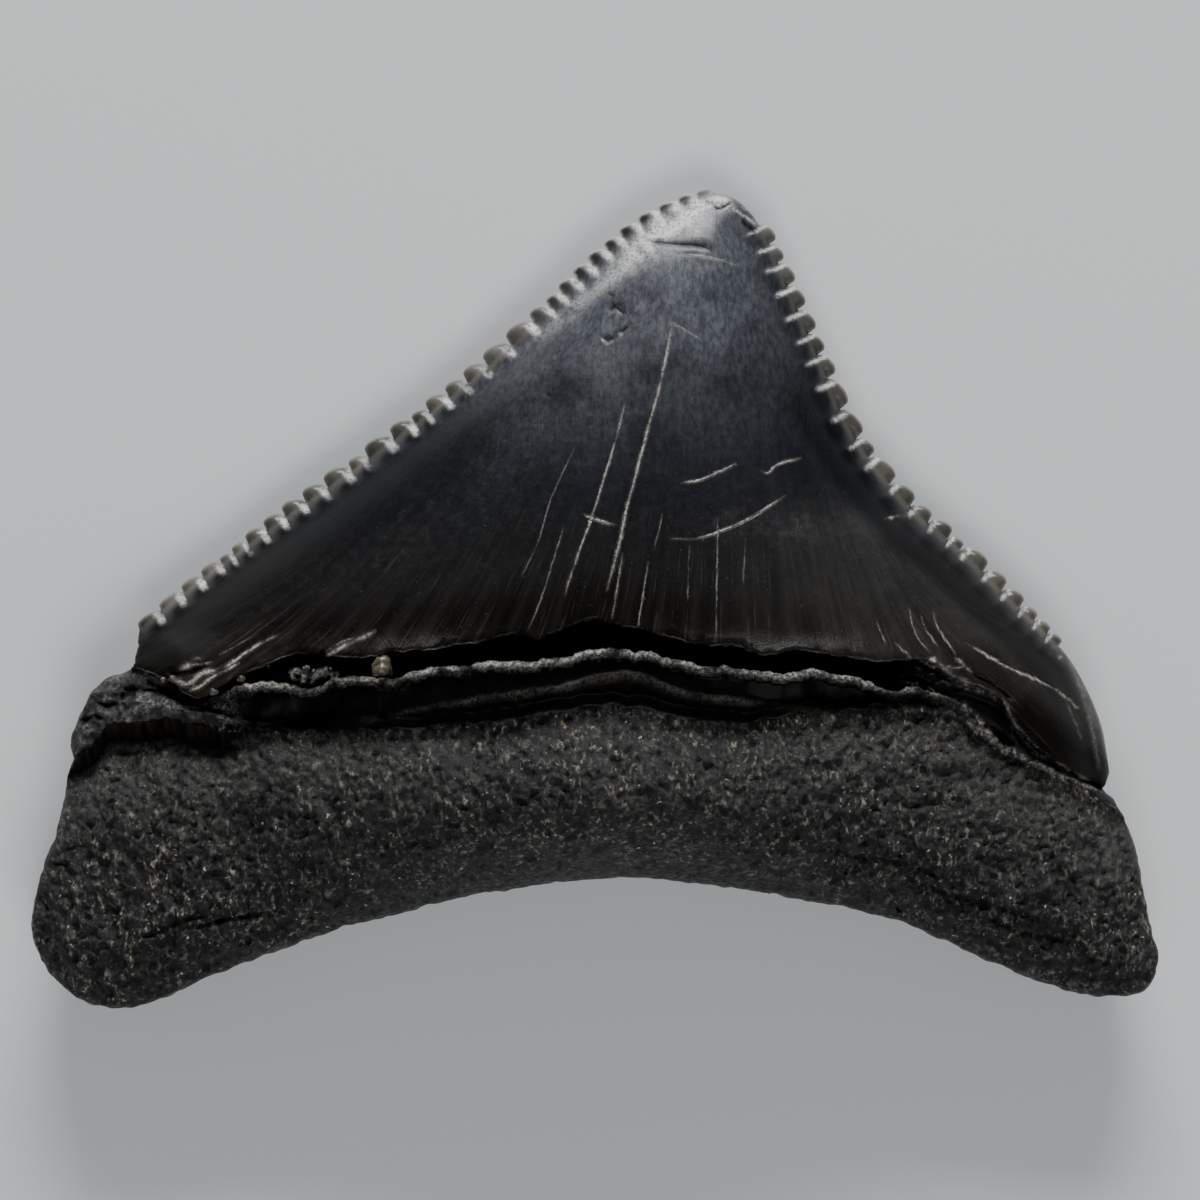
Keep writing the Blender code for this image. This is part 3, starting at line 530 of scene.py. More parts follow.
class Spots:
    """Points of a face with what is known of each: where it is against the edges, rims and lines."""

    def __init__(self, points, loop):
        self.x, self.y = points.T
        x, y = self.x, self.y
        samples = np.concatenate([LEFT.line, RIGHT.line])
        outward = np.concatenate([LEFT.outward, RIGHT.outward])
        index, self.from_blade = nearest(samples, x, y)
        self.inward = -((points - samples[index]) * outward[index]).sum(1)
        knobs = np.array([edge.knob(place) for edge in (LEFT, RIGHT) for place in edge.along])
        _, self.profile, which, self.phase = knobs[index].T
        self.has_knob = which >= 0
        self.right = index >= len(LEFT.line)
        self.knob_number = which + np.where(self.right, RIGHT_NUMBERS, 0.0)
        ends = zip(loop, np.roll(loop, -1, 0))
        dense = np.concatenate([np.linspace(a, b, 4, endpoint=False) for a, b in ends])
        self.from_rim = nearest(dense, x, y)[1]
        root_rim = smooth_curve(ROOT_RIM_LINE + BLOCK_RIM_LINE, ROOT_CURVE_STEP)
        self.from_root_rim = nearest(root_rim, x, y)[1]
        self.lip = lip_height(x)
        self.ridge = ridge_height(x)
        self.grain = grain_height(x)


def lip_height(x):
    return line_height(LIP_LINE, x) + 0.05 * wave(x, x * 0, 0.3, 3.5) + 0.03 * wave(x, x * 0, 0.13, 4.5)


def ridge_height(x):
    return line_height(RIDGE_LINE, x) + 0.05 * wave(x, x * 0, 0.25, 5.5) + 0.05 * wave(x, x * 0, 0.11, 6.5)


def grain_height(x):
    return line_height(GRAIN_LINE, x) + 0.12 * wave(x, x * 0, 0.6, 7.5)


def edge_height(y):
    return EDGE_HEIGHT + HEEL_RISE * smooth_step(HEEL_RISE_FROM, HEEL_RISE_TO, y)


def across_blade(x, y):
    """How far a point is from both cutting edges: nought on either, and smooth between them."""
    left = smooth_curve(LEFT_EDGE_BELOW + LEFT_EDGE, CURVE_STEP)
    right = smooth_curve(RIGHT_EDGE_BELOW + RIGHT_EDGE[::-1], CURVE_STEP)
    from_left = LEFT_FLANK * np.maximum(x - np.interp(y, left[:, 1], left[:, 0]), 0)
    from_right = RIGHT_FLANK * np.maximum(np.interp(y, right[:, 1], right[:, 0]) - x, 0)
    return 2 * from_left * from_right / np.maximum(from_left + from_right, 1e-6)


def crown_top(x, y):
    across = across_blade(x, y)
    slope = BLADE_SLOPE + HEEL_SLOPE * smooth_step(HEEL_SLOPE_FROM, HEEL_SLOPE_TO, y)
    rise = (edge_height(y) - EDGE_HEIGHT) * smooth_step(RISE_REACH, 0, across)
    return EDGE_HEIGHT + rise + slope * across / (1 + across / BLADE_SPAN)


def dome(x, y, cx, cy, spread):
    return np.exp(-((x - cx) ** 2 + (y - cy) ** 2) / spread**2)


def ledge(x, y, line):
    """A low step along a line: up just above it, dying away over LEDGE_REACH."""
    above = y - np.interp(x, *np.array(line).T, left=-99, right=-99)
    return LEDGE_HEIGHT * smooth_step(-LEDGE_FOOT, LEDGE_FOOT, above) * smooth_step(LEDGE_REACH, 0, above)


def block_share(x):
    return smooth_step(BLOCK_END_X + BLOCK_FADE, BLOCK_END_X - BLOCK_FADE, x)


def root_top(spots):
    x, y = spots.x, spots.y
    torus = np.exp(-((x / TORUS_HALF_WIDTH) ** 2) - ((y - TORUS_Y) / TORUS_HALF_HEIGHT) ** 2)
    below_block = spots.grain - y
    height = ROOT_LEVEL - ROOT_DROOP * x**2 + TORUS_RISE * torus
    fading = np.exp(-np.maximum(below_block - BLOCK_WALL, 0) / BLOCK_FOOT)
    height = height - BLOCK_STEP * block_share(x) * (smooth_step(0, BLOCK_WALL, below_block) * fading)
    height = height + ledge(x, y, LEFT_LEDGE) + ledge(x, y, RIGHT_LEDGE)
    base = ROOT_RIM_HEIGHT + ROOT_RIM
    return base + (height - base) * rounded(spots.from_root_rim, ROOT_ROUNDING)


def gap_depth(x):
    middle = smooth_step(GAP_LEFT_END - GAP_FADE, GAP_LEFT_END + GAP_FADE, x)
    middle = middle * smooth_step(GAP_RIGHT_END + GAP_FADE, GAP_RIGHT_END - GAP_FADE, x)
    return GAP_END_DEPTH + (GAP_DEPTH - GAP_END_DEPTH) * middle


def knob_relief(spots):
    """The serrations' bodies, steep on the side towards the tip, and the grooves that run in between."""
    reach = np.where(spots.right, RIGHT_GROOVE, LEFT_GROOVE)
    run = smooth_step(1, 0, spots.inward / reach) * spots.has_knob
    crest = smooth_step(0, 0.6, spots.phase) * smooth_step(1.0, 0.72, spots.phase)
    groove = np.where(spots.right, RIGHT_GROOVE_DEPTH, LEFT_GROOVE_DEPTH) * (1 - crest) ** 2
    raised = np.where(spots.right, RIGHT_CREST, LEFT_CREST) * crest - groove
    body = KNOB_RISE * smooth_step(0.8, 0.0, spots.inward) + run * raised
    return rounded(spots.from_rim, KNOB_ROUNDING) * body


def upper_left(x, y):
    """One along the tip and the upper left edge, which are rounded off and dulled by wear."""
    return smooth_step(5.0, 10.0, y) * smooth_step(8.0, 5.0, x + 0.2 * (y - 10))


def paint(look, name, share):
    """Brings a look up to the given share wherever it is less."""
    look[name] = np.maximum(look[name], share)


def crown_surface(spots, look):
    """The enamel: the smooth blade, its serrations, scratches and dents."""
    x, y, inward = spots.x, spots.y, spots.inward
    z = crown_top(x, y) + EDGE_BLUNT * smooth_step(1.0, 0.0, inward) + knob_relief(spots)
    worn_off = smooth_step(1.9, 0.1, inward) - smooth_step(0.5, -0.1, inward)
    z -= EDGE_WORN_OFF * upper_left(x, y) * worn_off
    z += SWELL * wave(x, y, 3.5, 8.5) * smooth_step(0.5, 2.5, inward) + RIPPLE * wave(x, y, 0.7, 9.5)
    z -= scratches(x, y, look) + hollows(DENTS, x, y, look)
    lip_edge = bell(y - spots.lip, 0.02)
    chipped = patchy(x, y, 0.5, 11.5, 0.5, 1.2)
    z -= LIP_WORN_OFF * lip_edge + LIP_CHIPS * chipped * smooth_step(0.16, 0.0, y - spots.lip)
    paint(look, "pale", 0.3 * lip_edge * patchy(x, y, 0.8, 12.1, 0.2, 2.0))
    return z


def scratches(x, y, look):
    """Depth of the thin, ragged scratches and hairlines; it also paints them pale."""
    depth = np.zeros(len(x))
    ragged_x, ragged_y = x + 0.035 * wave(x, y, 0.2, 10.1), y + 0.035 * wave(x, y, 0.2, 10.3)
    broken = patchy(x, y, 0.4, 10.5, 0.75, 1.1, least=0.15)
    for width, strength, pixels in SCRATCHES:
        cut, along = stroke(pixels, ragged_x, ragged_y, 0.5 * width, 3 * width)
        cut = cut * np.clip(1.2 - np.abs(2 * along - 1) ** 4, 0, 1)
        depth = np.maximum(depth, SCRATCH_DEPTH * strength * cut)
        paint(look, "pale", strength * cut * broken)
    return depth


def hollows(lines, x, y, look):
    """Depth of dents or crevices along lines; it also paints shade into them."""
    depth = np.zeros(len(x))
    for deepest, half_width, pixels in lines:
        cut, along = stroke(pixels, x, y, half_width, 4 * half_width)
        cut = cut * np.clip(1.3 - np.abs(2 * along - 1) ** 4, 0, 1)
        depth = np.maximum(depth, deepest * cut)
        paint(look, "dark", cut)
    return depth


def level_below_lip(spots):
    """The surface that would run on from the enamel down to the bare root if nothing were broken."""
    below = np.clip((spots.lip - spots.y) / np.maximum(spots.lip - spots.grain, HEEL_REACH), 0, 1)
    share = smooth_step(0, 1, below)
    return crown_top(spots.x, spots.y) * (1 - share) + root_top(spots) * share, below


def rough(x, y, seed):
    """Broken, crumbly relief from a millimetre down to a tenth."""
    sharp = 0.22 - np.abs(wave(x, y, 0.9, seed + 0.1))
    fine = 0.2 - np.abs(wave(x, y, 0.4, seed + 0.2))
    return 0.7 * sharp + 0.5 * fine + 0.25 * wave(x, y, 0.2, seed + 0.3) + 0.4 * wave(x, y, 1.5, seed + 0.4)


class Zones:
    """The parts below the enamel, each as one where it is, easing to nought at its borders."""

    def __init__(self, spots):
        x, y = spots.x, spots.y
        self.above_grain, self.above_ridge = y - spots.grain, y - spots.ridge
        self.corner = block_share(x)
        self.block = self.corner * (y > spots.grain)
        self.above_foot = y - (spots.grain - BLOCK_WALL * self.corner)
        self.on_root = smooth_step(0.15, -0.35, self.above_foot)
        self.wall = self.corner * smooth_step(0.03, -0.06, self.above_grain)
        self.in_gap = smooth_step(0, GAP_WALL, self.above_ridge)
        over_foot = smooth_step(-RIDGE_WIDTH - 0.05, -RIDGE_WIDTH + 0.05, self.above_ridge)
        self.on_rim = over_foot * (1 - self.in_gap)
        self.has_band = smooth_step(BAND_END_X, BAND_END_X - BAND_FADE, x)
        self.debris = self.in_gap * lodged_debris(x, y)
        self.third = third_line(x, y)
        self.heel = smooth_step(HEEL_LEFT_X, HEEL_RIGHT_X, x) * (1 - self.on_root)
        self.heel = self.heel * smooth_step(0.02, -0.1, self.above_ridge)
        low = smooth_step(0.9, 0.2, self.above_grain)
        self.low_band = low * (1 - self.on_root) * (1 - self.corner)
        self.above_plate = smooth_step(-0.05, 0.12, y - line_height(PLATE_TOP_LINE, x))
        self.hollow = self.block * self.above_plate * smooth_step(-15.2, -14.4, x)
        self.striae = wave(x, 0.12 * y, 0.13, 35.5)


def third_line(x, y):
    """The faint line on the smooth band, sharp above and soft below."""
    above = y - line_height(THIRD_LINE, x) - 0.05 * wave(x, y, 0.3, 41.5)
    third = bell(above, np.where(above > 0, 0.07, 0.22))
    return third * smooth_step(THIRD_LEFT - 2, THIRD_LEFT, x) * smooth_step(THIRD_RIGHT + 2, THIRD_RIGHT, x)


def drop_below(spots, zones, below, broken):
    """How far the crack, its broken rim, the band and the heel lie under the unbroken surface."""
    x, y = spots.x, spots.y
    rim_drop = RIDGE_DROP - 0.12 + 0.10 * broken - 0.03 * wave(x, y, 0.12, 12.5)
    band_drop = BAND_DROP * smooth_step(0, BAND_FOOT, zones.above_grain) * (1 - zones.corner)
    gap_drop = gap_depth(x) + 0.3 * broken * smooth_step(GAP_DEPTH, GAP_END_DEPTH, gap_depth(x))
    drop = zones.in_gap * gap_drop + zones.on_rim * rim_drop + (1 - zones.in_gap - zones.on_rim) * band_drop
    drop = drop * zones.has_band + HEEL_STEP * (1 - zones.has_band) * (1 - below)
    return drop - DEBRIS_FILL * zones.debris


def below_surface(spots, look):
    """All below the enamel: the crack, its broken rim, the smooth band, the corner block and the root."""
    x, y, zones = spots.x, spots.y, Zones(spots)
    level, below = level_below_lip(spots)
    broken = rough(x, y, 20.0)
    z = level - drop_below(spots, zones, below, broken) + THIRD_RISE * zones.third
    crumbly = zones.block * (0.42 * broken - 0.05) + 0.14 * zones.heel * broken
    z += crumbly + 0.16 * zones.low_band * (broken - 0.1)
    away = smooth_step(0, 1.5, spots.lip - y) * smooth_step(0, 1.5, spots.from_root_rim)
    for seed, (size, rise) in enumerate(LUMPS):
        z += away * rise * wave(x, y, size, seed + 0.5)
    z += zones.on_root * root_relief(spots, look)
    z += 0.10 * zones.wall * (1 - zones.on_root) * zones.striae
    z -= hollows(CREVICES, x, y, look)
    paint_band(spots, zones, look)
    paint_root(spots, zones, broken, look)
    return z - PLATE_HOLLOW * zones.hollow


def paint_band(spots, zones, look):
    """The looks of the crack, its pale broken rim and crumbs, and the dark band below, with painted shade in
    the crack and painted shadow at the band's foot.
    """
    x, y, has_band, debris = spots.x, spots.y, zones.has_band, zones.debris
    crest = 0.3 + 0.7 * bell(zones.above_ridge + 0.04, 0.09)
    look["pale"] = zones.on_rim * has_band * crest * patchy(x, y, 0.5, 13.5, 0.8, 1.1) * (1 - zones.block)
    for half_width, strength, pixels in CRUMBS:
        crumb = stroke(pixels, x, y, half_width, 3 * half_width)[0]
        paint(look, "pale", strength * crumb * patchy(x, y, 0.2, 36.5, 0.6, 1.5))
    paint(look, "pale", pale_below_lip(x, y))
    paint(look, "pale", 0.3 * debris * patchy(x, y, 0.22, 38.5, 0.4, 2.2))
    look["brown"] = zones.third * patchy(x, y, 0.5, 40.5, 0.8, 1.2)
    # painted shade in the crack and, below, painted shadow at the band's foot
    look["deep"] = zones.in_gap * has_band * smooth_step(0, 0.12, spots.lip - y)
    look["deep"] = look["deep"] * smooth_step(HEEL_RIGHT_X, HEEL_LEFT_X, x)
    foot_shadow = smooth_step(0.85, 0.5, zones.above_grain) * smooth_step(0.0, 0.12, zones.above_grain)
    paint(look, "deep", 0.85 * foot_shadow * has_band)
    look["deep"] = look["deep"] * (1 - zones.corner) * (1 - debris)


def paint_root(spots, zones, broken, look):
    """The looks of the bare root, the broken corner block and the wall below the block, with painted shade in
    the block's hollows and below the wall.
    """
    x, y, on_root, block = spots.x, spots.y, zones.on_root, zones.block
    # painted shade in the corner block's low hollows
    paint(look, "pit", block * smooth_step(0.03, -0.16, broken))
    dusty_side = 0.4 + 0.6 * np.maximum(smooth_step(-3, -8, x), smooth_step(5, 10, x))
    dusty_foot = smooth_step(-4.2, -1.2, zones.above_foot + 1.5 * wave(x, y, 1.8, 43.5))
    look["dust"] = dusty_foot * on_root * dusty_side
    bare = np.minimum(on_root, 0.35 + 0.65 * smooth_step(0.25, -1.0, zones.above_foot))
    look["root"] = np.maximum(bare, np.maximum(block - zones.hollow, zones.heel))
    # the corner block's flat front, which takes the painted glints
    look["plate"] = block * smooth_step(0.1, 0.45, zones.above_grain) * (1 - 0.65 * zones.above_plate)
    look["wall"] = zones.wall * (1 - on_root) * np.clip(0.7 + 1.4 * zones.striae, 0, 1)
    under_wall = smooth_step(-0.3, -0.6, zones.above_grain)
    look["shade"] = zones.wall * under_wall * (1 - smooth_step(-0.55, -0.95, zones.above_grain))


def lodged_debris(x, y):
    """One where broken enamel and sediment are packed into the crack."""
    packed = np.zeros(len(x))
    ragged = 1 + 0.9 * wave(x, y, 0.3, 39.5)
    for half_width, pixels in DEBRIS:
        distance = near_line(pixels, x, y, 3 * half_width)[0]
        packed = np.maximum(packed, smooth_step(1.15, 0.75, distance / half_width * ragged))
    return packed


def pale_below_lip(x, y):
    """The pale lines at the corner and the heel that run on below the enamel."""
    marks = {"pale": np.zeros(len(x))}
    scratches(x, y, marks)
    return 0.8 * marks["pale"]


def root_relief(spots, look):
    """The bare root's grains, winding pits, pores and cracks."""
    x, y = spots.x, spots.y
    lobes = smooth_step(5.0, 12.0, np.abs(x))
    domes = 1 - np.clip(from_centres(x, y, GRAIN_SIZE, 14.5) / 0.75, 0, 1) ** 1.5
    grains = GRAIN_HEIGHT * domes * patchy(x, y, 0.7, 37.5, 0.6, 1.2, least=0.15)
    bent_x, bent_y = x + 0.25 * wave(x, y, 0.9, 15.5), y + 0.25 * wave(x, y, 0.9, 16.5)
    winding = np.abs(wave(bent_x, bent_y, 0.42, 17.5))
    pits = smooth_step(0.08, 0.0, winding) * smooth_step(-0.1, 0.3, wave(x, y, 1.6, 18.5) + 0.25 * lobes)
    pores = smooth_step(0.25, 0.42, wave(x, y, 0.3, 19.5))
    z = grains - (PIT_DEPTH + LOBE_PIT_DEPTH * lobes) * pits - PORE_DEPTH * pores
    z += 0.10 * wave(x, y, 0.55, 20.5)
    z += 0.09 * wave(x, y, 0.18, 21.5) - ROOT_RELIEF_SETBACK
    shading = {"dark": np.zeros(len(x))}
    z -= hollows(ROOT_CRACKS, x, y, shading)
    paint(look, "dark", 0.5 * shading["dark"])
    # painted shade in the pits and pores
    look["pit"] = np.clip(0.7 * pits + pores, 0, 1)
    return z * smooth_step(0, 0.5, spots.from_root_rim)


def labial_surface(spots, look):
    """The under face: nearly flat, hollow between the three spots that rest on the table."""
    x, y = spots.x, spots.y
    above = y - line_height(LABIAL_LINE, x) - 0.15 * wave(x, y, 0.8, 22.5)
    above_line = smooth_step(-0.12, 0.12, above)
    hollow = LABIAL_HOLLOW * (1 - dome(x, y, *BLADE_REST)) - LABIAL_ENAMEL * above_line
    for cx, cy, spread in LOBE_RESTS:
        hollow = hollow - LOBE_REST_DEPTH * dome(x, y, cx, cy, spread)
    inward = np.where(y > spots.lip, spots.inward, spots.from_rim)
    edge = edge_height(y) - EDGE_BLUNT
    hollow = np.maximum(hollow, 0)
    blade = hollow + (edge - hollow) * np.clip(1 - np.maximum(inward, 0) / EDGE_REACH, 0, 1) ** 3
    blade -= 0.7 * knob_relief(spots)
    from_rim = np.minimum(spots.from_root_rim, spots.from_blade)
    base = ROOT_RIM_HEIGHT - ROOT_RIM
    root = base - (base - hollow) * rounded(from_rim, LABIAL_ROUNDING)
    relief = 0.6 * np.abs(root_relief(spots, look)) * (1 - above_line) * smooth_step(0.1, 0.8, from_rim)
    z = root + relief + (blade - root) * smooth_step(-LABIAL_BLEND, LABIAL_BLEND, y - spots.lip)
    look["root"] = 1 - above_line
    return np.maximum(z, 0)


def lattice(step):
    """Points in even triangles over the whole tooth."""
    rows = np.arange(-LATTICE_Y, LATTICE_Y, step * 0.866)
    x, y = np.meshgrid(np.arange(-LATTICE_X, LATTICE_X, step), rows)
    x = x + step / 2 * (np.arange(len(rows)) % 2)[:, None]
    return np.column_stack([x.ravel(), y.ravel()])


def edge_zone(step):
    """A fine lattice just inside the serrated edges."""
    points = lattice(step)
    distance = nearest(np.concatenate([LEFT.line[::10], RIGHT.line[::10]]), *points.T)[1]
    return points[distance < EDGE_ZONE]


def spread_points(rim, groups):
    """Points of each group in turn that are inside the rim and clear of all the groups before."""
    kept = rim
    for points, gap in groups:
        points = points[inside(rim, *points.T)]
        kept = np.concatenate([kept, points[nearest(kept, *points.T)[1] > gap]])
    return kept


def rows_along(height_at, right, offsets):
    """Rows of points at set distances above or below a line across the face."""
    x = np.arange(LINE_LEFT, right, LINE_STEP)
    return [(np.column_stack([x, height_at(x) + offset]), ROW_GAP) for offset in offsets]


def scratch_rows():
    """Points along the scratches and dents, which are finer than the lattice round them."""
    rows = []
    for width, pixels in [(s[0], s[2]) for s in SCRATCHES] + [(1.2 * d[1], d[2]) for d in DENTS]:
        line = smooth_curve(from_photo(pixels), SCRATCH_CURVE_STEP)
        across = leftward(np.gradient(line, axis=0))
        rows += [line + across * width * side for side in SCRATCH_ROWS]
    return np.concatenate(rows)


def lingual_points(loop):
    groups = rows_along(lip_height, LINE_RIGHT, LIP_ROWS) + rows_along(ridge_height, BAND_END_X, RIDGE_ROWS)
    groups.append((scratch_rows(), ROW_GAP))
    below = lattice(ROOT_LATTICE)
    below = below[below[:, 1] < line_height(LIP_LINE, below[:, 0]) + 0.1]
    groups += [(edge_zone(EDGE_LATTICE), EDGE_GAP), (below, ROOT_GAP), (lattice(CROWN_LATTICE), CROWN_GAP)]
    return spread_points(loop, groups)


def labial_points(loop):
    edges = (edge_zone(LABIAL_EDGE_LATTICE), LABIAL_EDGE_GAP)
    return spread_points(loop, [edges, (lattice(LABIAL_LATTICE), LABIAL_GAP)])


def triangles(points, rim):
    """Triangles that fill the rim, as index triples into points, anticlockwise."""
    rim_edges = [(i, (i + 1) % len(rim)) for i in range(len(rim))]
    found = delaunay_2d_cdt([Vector(p) for p in points], rim_edges, [], 0, 1e-6, True)
    index = np.array([source[0] for source in found[3]])
    faces = index[np.array([list(face) for face in found[2]])]
    middle = points[faces].mean(1)
    faces = faces[inside(rim, middle[:, 0], middle[:, 1])]
    a, b, c = (points[faces[:, i]] for i in range(3))
    backward = np.cross(b - a, c - a) < 0
    faces[backward] = faces[backward][:, ::-1]
    return faces


def rim_heights(spots, on_blade, side):
    """The rim's upper line (side 1) or lower (-1), easing from the blade's to the root's at the heels."""
    share = np.where(on_blade, 1.0, smooth_step(2.5, 0.0, spots.from_blade[: len(on_blade)]))
    y = spots.y[: len(on_blade)]
    blade, root = edge_height(y) + side * EDGE_BLUNT, ROOT_RIM_HEIGHT + side * ROOT_RIM
    return blade * share + root * (1 - share)


LOOKS = (
    "root", "pale", "brown", "deep", "pit", "dark", "wall", "shade", "knob", "rim", "wear_and_highlight", "seed",
    "fan", "low", "glow", "haze_and_sheen", "worn", "smooth", "plate", "matte", "brown_sheen", "dust",
)  # fmt: skip


def enamel_shade(spots):
    """Painted shade on the enamel: along the cutting edges, above the lip and low on the right heel."""
    x, y = spots.x, spots.y
    heel, along = stroke(HEEL_SHADE_PIXELS, x, y, 1.0, 2.4)
    heel = heel * smooth_step(0, 0.15, along)
    fade = smooth_step(np.where(spots.right, 1.9, 3.2), np.where(spots.right, 1.2, 1.3), spots.inward)
    beside_edge = smooth_step(0.15, 0.7, spots.inward) * fade * smooth_step(9, 5, y)
    beside_edge = np.where(spots.right, 0.9, 0.62) * beside_edge * smooth_step(19, 15, x)
    above_lip = 0.45 * smooth_step(1.0, 0.2, y - spots.lip) * smooth_step(-6, -3, x) * smooth_step(12, 9, x)
    return np.maximum(np.maximum(heel, beside_edge), above_lip)


def brown_sheen(spots):
    """The browner, duller sheen painted low on the right of the blade, which stops short of the cutting edge.
    """
    x, y = spots.x, spots.y
    area = smooth_step(2.5, 9.5, x) * smooth_step(14.5, 12.5, x) * smooth_step(5.0, 2.0, y)
    return area * smooth_step(1.2, 2.0, spots.inward) * patchy(x, y, 1.2, 42.5, 0.9, 0.6)


def by_knob(spots, spread):
    """A share for each serration, scattered from nought to one."""
    return np.modf(np.abs(np.sin(spots.knob_number * spread)) * 437.58)[0]


def knob_wear_and_highlights(spots):
    """Painted highlights on the serrations, partly whitish wear, on the side of each that faces the tip and
    the light.
    """
    side = smooth_step(0.62, 0.8, spots.phase) * smooth_step(1.0, 0.93, spots.phase)
    left = side * smooth_step(-0.2, 0.0, spots.inward) * smooth_step(0.5, 0.2, spots.inward)
    thin = bell(spots.phase - 0.80 + 0.06 * spots.inward, 0.07)
    reach = 0.35 + 0.3 * smooth_step(2, 8, spots.y)
    right = thin * smooth_step(-0.4, -0.3, spots.inward) * smooth_step(reach, 0.3 * reach, spots.inward)
    strength = 0.55 + 0.45 * by_knob(spots, 78.233)
    ragged = patchy(spots.x, spots.y, 0.2, 30.5, 0.8, 1.2)
    return spots.has_knob * np.where(spots.right, right, left) * strength * ragged


def beside_tip(x, y):
    """One along the last few serrations of the left edge, which are worn low."""
    return smooth_step(9.0, 11.5, y) * smooth_step(3.9, 3.2, x)


def glow(spots):
    """The bright patch beside the tip, partly whitish wear and partly painted highlight, with spokes that run
    out between the worn serrations.
    """
    x, y = spots.x, spots.y
    distance, along = near_line(GLOW_PIXELS, x, y, 2.0)
    width = 0.3 + 0.35 * smooth_step(0.4, 0.75, along) - 0.33 * smooth_step(0.84, 0.93, along)
    wear_and_highlight = bell(distance, width) * smooth_step(-0.05, 0.3, along)
    ragged = np.clip(0.9 + 0.9 * wave(x, y, 0.35, 31.5) + 0.5 * wave(x, y, 0.12, 32.5), 0, 1)
    wear_and_highlight = wear_and_highlight * (0.3 + 0.7 * smooth_step(0.35, 0.75, along)) * smooth_step(-0.1, 0.2, spots.inward)
    spokes = beside_tip(x, y) * (1 - spots.profile**2) * smooth_step(0.5, 0.1, spots.inward)
    return np.maximum(wear_and_highlight, 0.9 * spokes) * ragged


def haze_and_sheen(x, y):
    """The bluish sheen of the upper blade, painted into its colour and partly a dull haze that also roughens
    it, fading down it and towards its right.
    """
    fade = smooth_step(2.0, 12.5, y) ** 1.4 * smooth_step(9.0, 3.5, x + 0.15 * (y - 8))
    return fade * np.clip(0.85 + 0.6 * wave(x, y, 1.8, 33.5) + 0.3 * wave(x, y, 0.4, 34.5), 0, 1)


def fan_across(x, y):
    """A coordinate that is constant along the enamel's fine growth lines, which fan out to the heels."""
    base_x = [-14.0, -12.0, -6.0, -1.5, 1.5, 4.5, 8.5, 10.5, 12.5, 14.5]
    lean = [-2.2, -1.45, -0.7, -0.35, -0.18, 0.0, 0.25, 0.5, 1.2, 2.0]
    up = np.clip(y + 1.0, -6, 6)
    base = x
    for _ in range(4):
        base = 0.5 * base + 0.5 * (x + up * np.interp(base, base_x, lean))
    return base


def face_corners(points, loop, on_blade, side):
    """The corners of the upper face (side 1) or the under face (-1), and their looks."""
    spots = Spots(points, loop)
    look = {name: np.zeros(len(points)) for name in LOOKS}
    if side > 0:
        crown_look, below_look = ({k: v.copy() for k, v in look.items()} for _ in range(2))
        crown, below = crown_surface(spots, crown_look), below_surface(spots, below_look)
        on_crown = spots.y >= spots.lip - LIP_MARGIN
        z = np.where(on_crown, crown, below)
        look = {k: np.where(on_crown, crown_look[k], below_look[k]) for k in LOOKS}
        look["crown"] = on_crown.astype(float)
    else:
        z = labial_surface(spots, look)
        look["crown"] = 1 - look["root"]
    crown = look["crown"]
    on_edge = smooth_step(0.7, 0.5, spots.from_blade) * crown
    look["knob"] = spots.profile**1.5 * smooth_step(0.32, -0.02, spots.inward) * on_edge
    look["knob"] *= np.where(spots.right, 0.65, 1.0)
    look["rim"] = smooth_step(0.09, 0.02, spots.from_rim) * smooth_step(0.1, 0.5, spots.profile) * on_edge
    look["wear_and_highlight"] = knob_wear_and_highlights(spots) * crown
    look["glow"], look["haze_and_sheen"] = glow(spots) * crown, haze_and_sheen(spots.x, spots.y) * crown
    look["shade"] = np.where(crown > 0.5, enamel_shade(spots), look["shade"])
    look["matte"] = smooth_step(2.4, 0.8, spots.y - spots.lip) * crown
    look["brown_sheen"] = brown_sheen(spots) * crown
    look["worn"] = beside_tip(spots.x, spots.y)
    look["smooth"] = smooth_step(1.15, 0.3, spots.from_root_rim) * smooth_step(11, 6, np.abs(spots.x))
    look["seed"] = by_knob(spots, 12.9898)
    look["fan"] = fan_across(spots.x, spots.y)
    look["low"] = smooth_step(5.5, -1.5, spots.y + 0.04 * np.abs(spots.x) ** 1.2)
    z[: len(loop)] = rim_heights(spots, on_blade, side)
    return np.column_stack([points, z]), look


def tooth_surface():
    loop, on_blade = outlines()
    top, under = lingual_points(loop), labial_points(loop)
    (top_corners, top_look), (under_corners, under_look) = (
        face_corners(top, loop, on_blade, 1),
        face_corners(under, loop, on_blade, -1),
    )
    here = np.arange(len(loop))
    after = np.roll(here, -1)
    below, below_after = here + len(top), after + len(top)
    wall = [np.column_stack([here, after, below_after]), np.column_stack([here, below_after, below])]
    faces = np.concatenate([triangles(top, loop), triangles(under, loop)[:, ::-1] + len(top), *wall])
    corners = np.concatenate([top_corners, under_corners])
    mesh = bpy.data.meshes.new("fossil_tooth_surface")
    mesh.from_pydata((corners * MM).tolist(), [], faces.tolist())
    for name in top_look:
        values = np.concatenate([top_look[name], under_look[name]]).astype(np.float32)
        mesh.attributes.new(name, "FLOAT", "POINT").data.foreach_set("value", values)
    on_crown = np.concatenate([top_look["crown"], under_look["crown"]])[faces].mean(1) > 0.5
    mesh.polygons.foreach_set("material_index", np.where(on_crown, 0, 1).astype(np.int32))
    mesh.validate()
    mesh.shade_smooth()
    mesh.set_sharp_from_angle(angle=math.radians(62))
    tooth = bpy.data.objects.new("fossil_tooth_surface", mesh)
    bpy.context.scene.collection.objects.link(tooth)
    return tooth


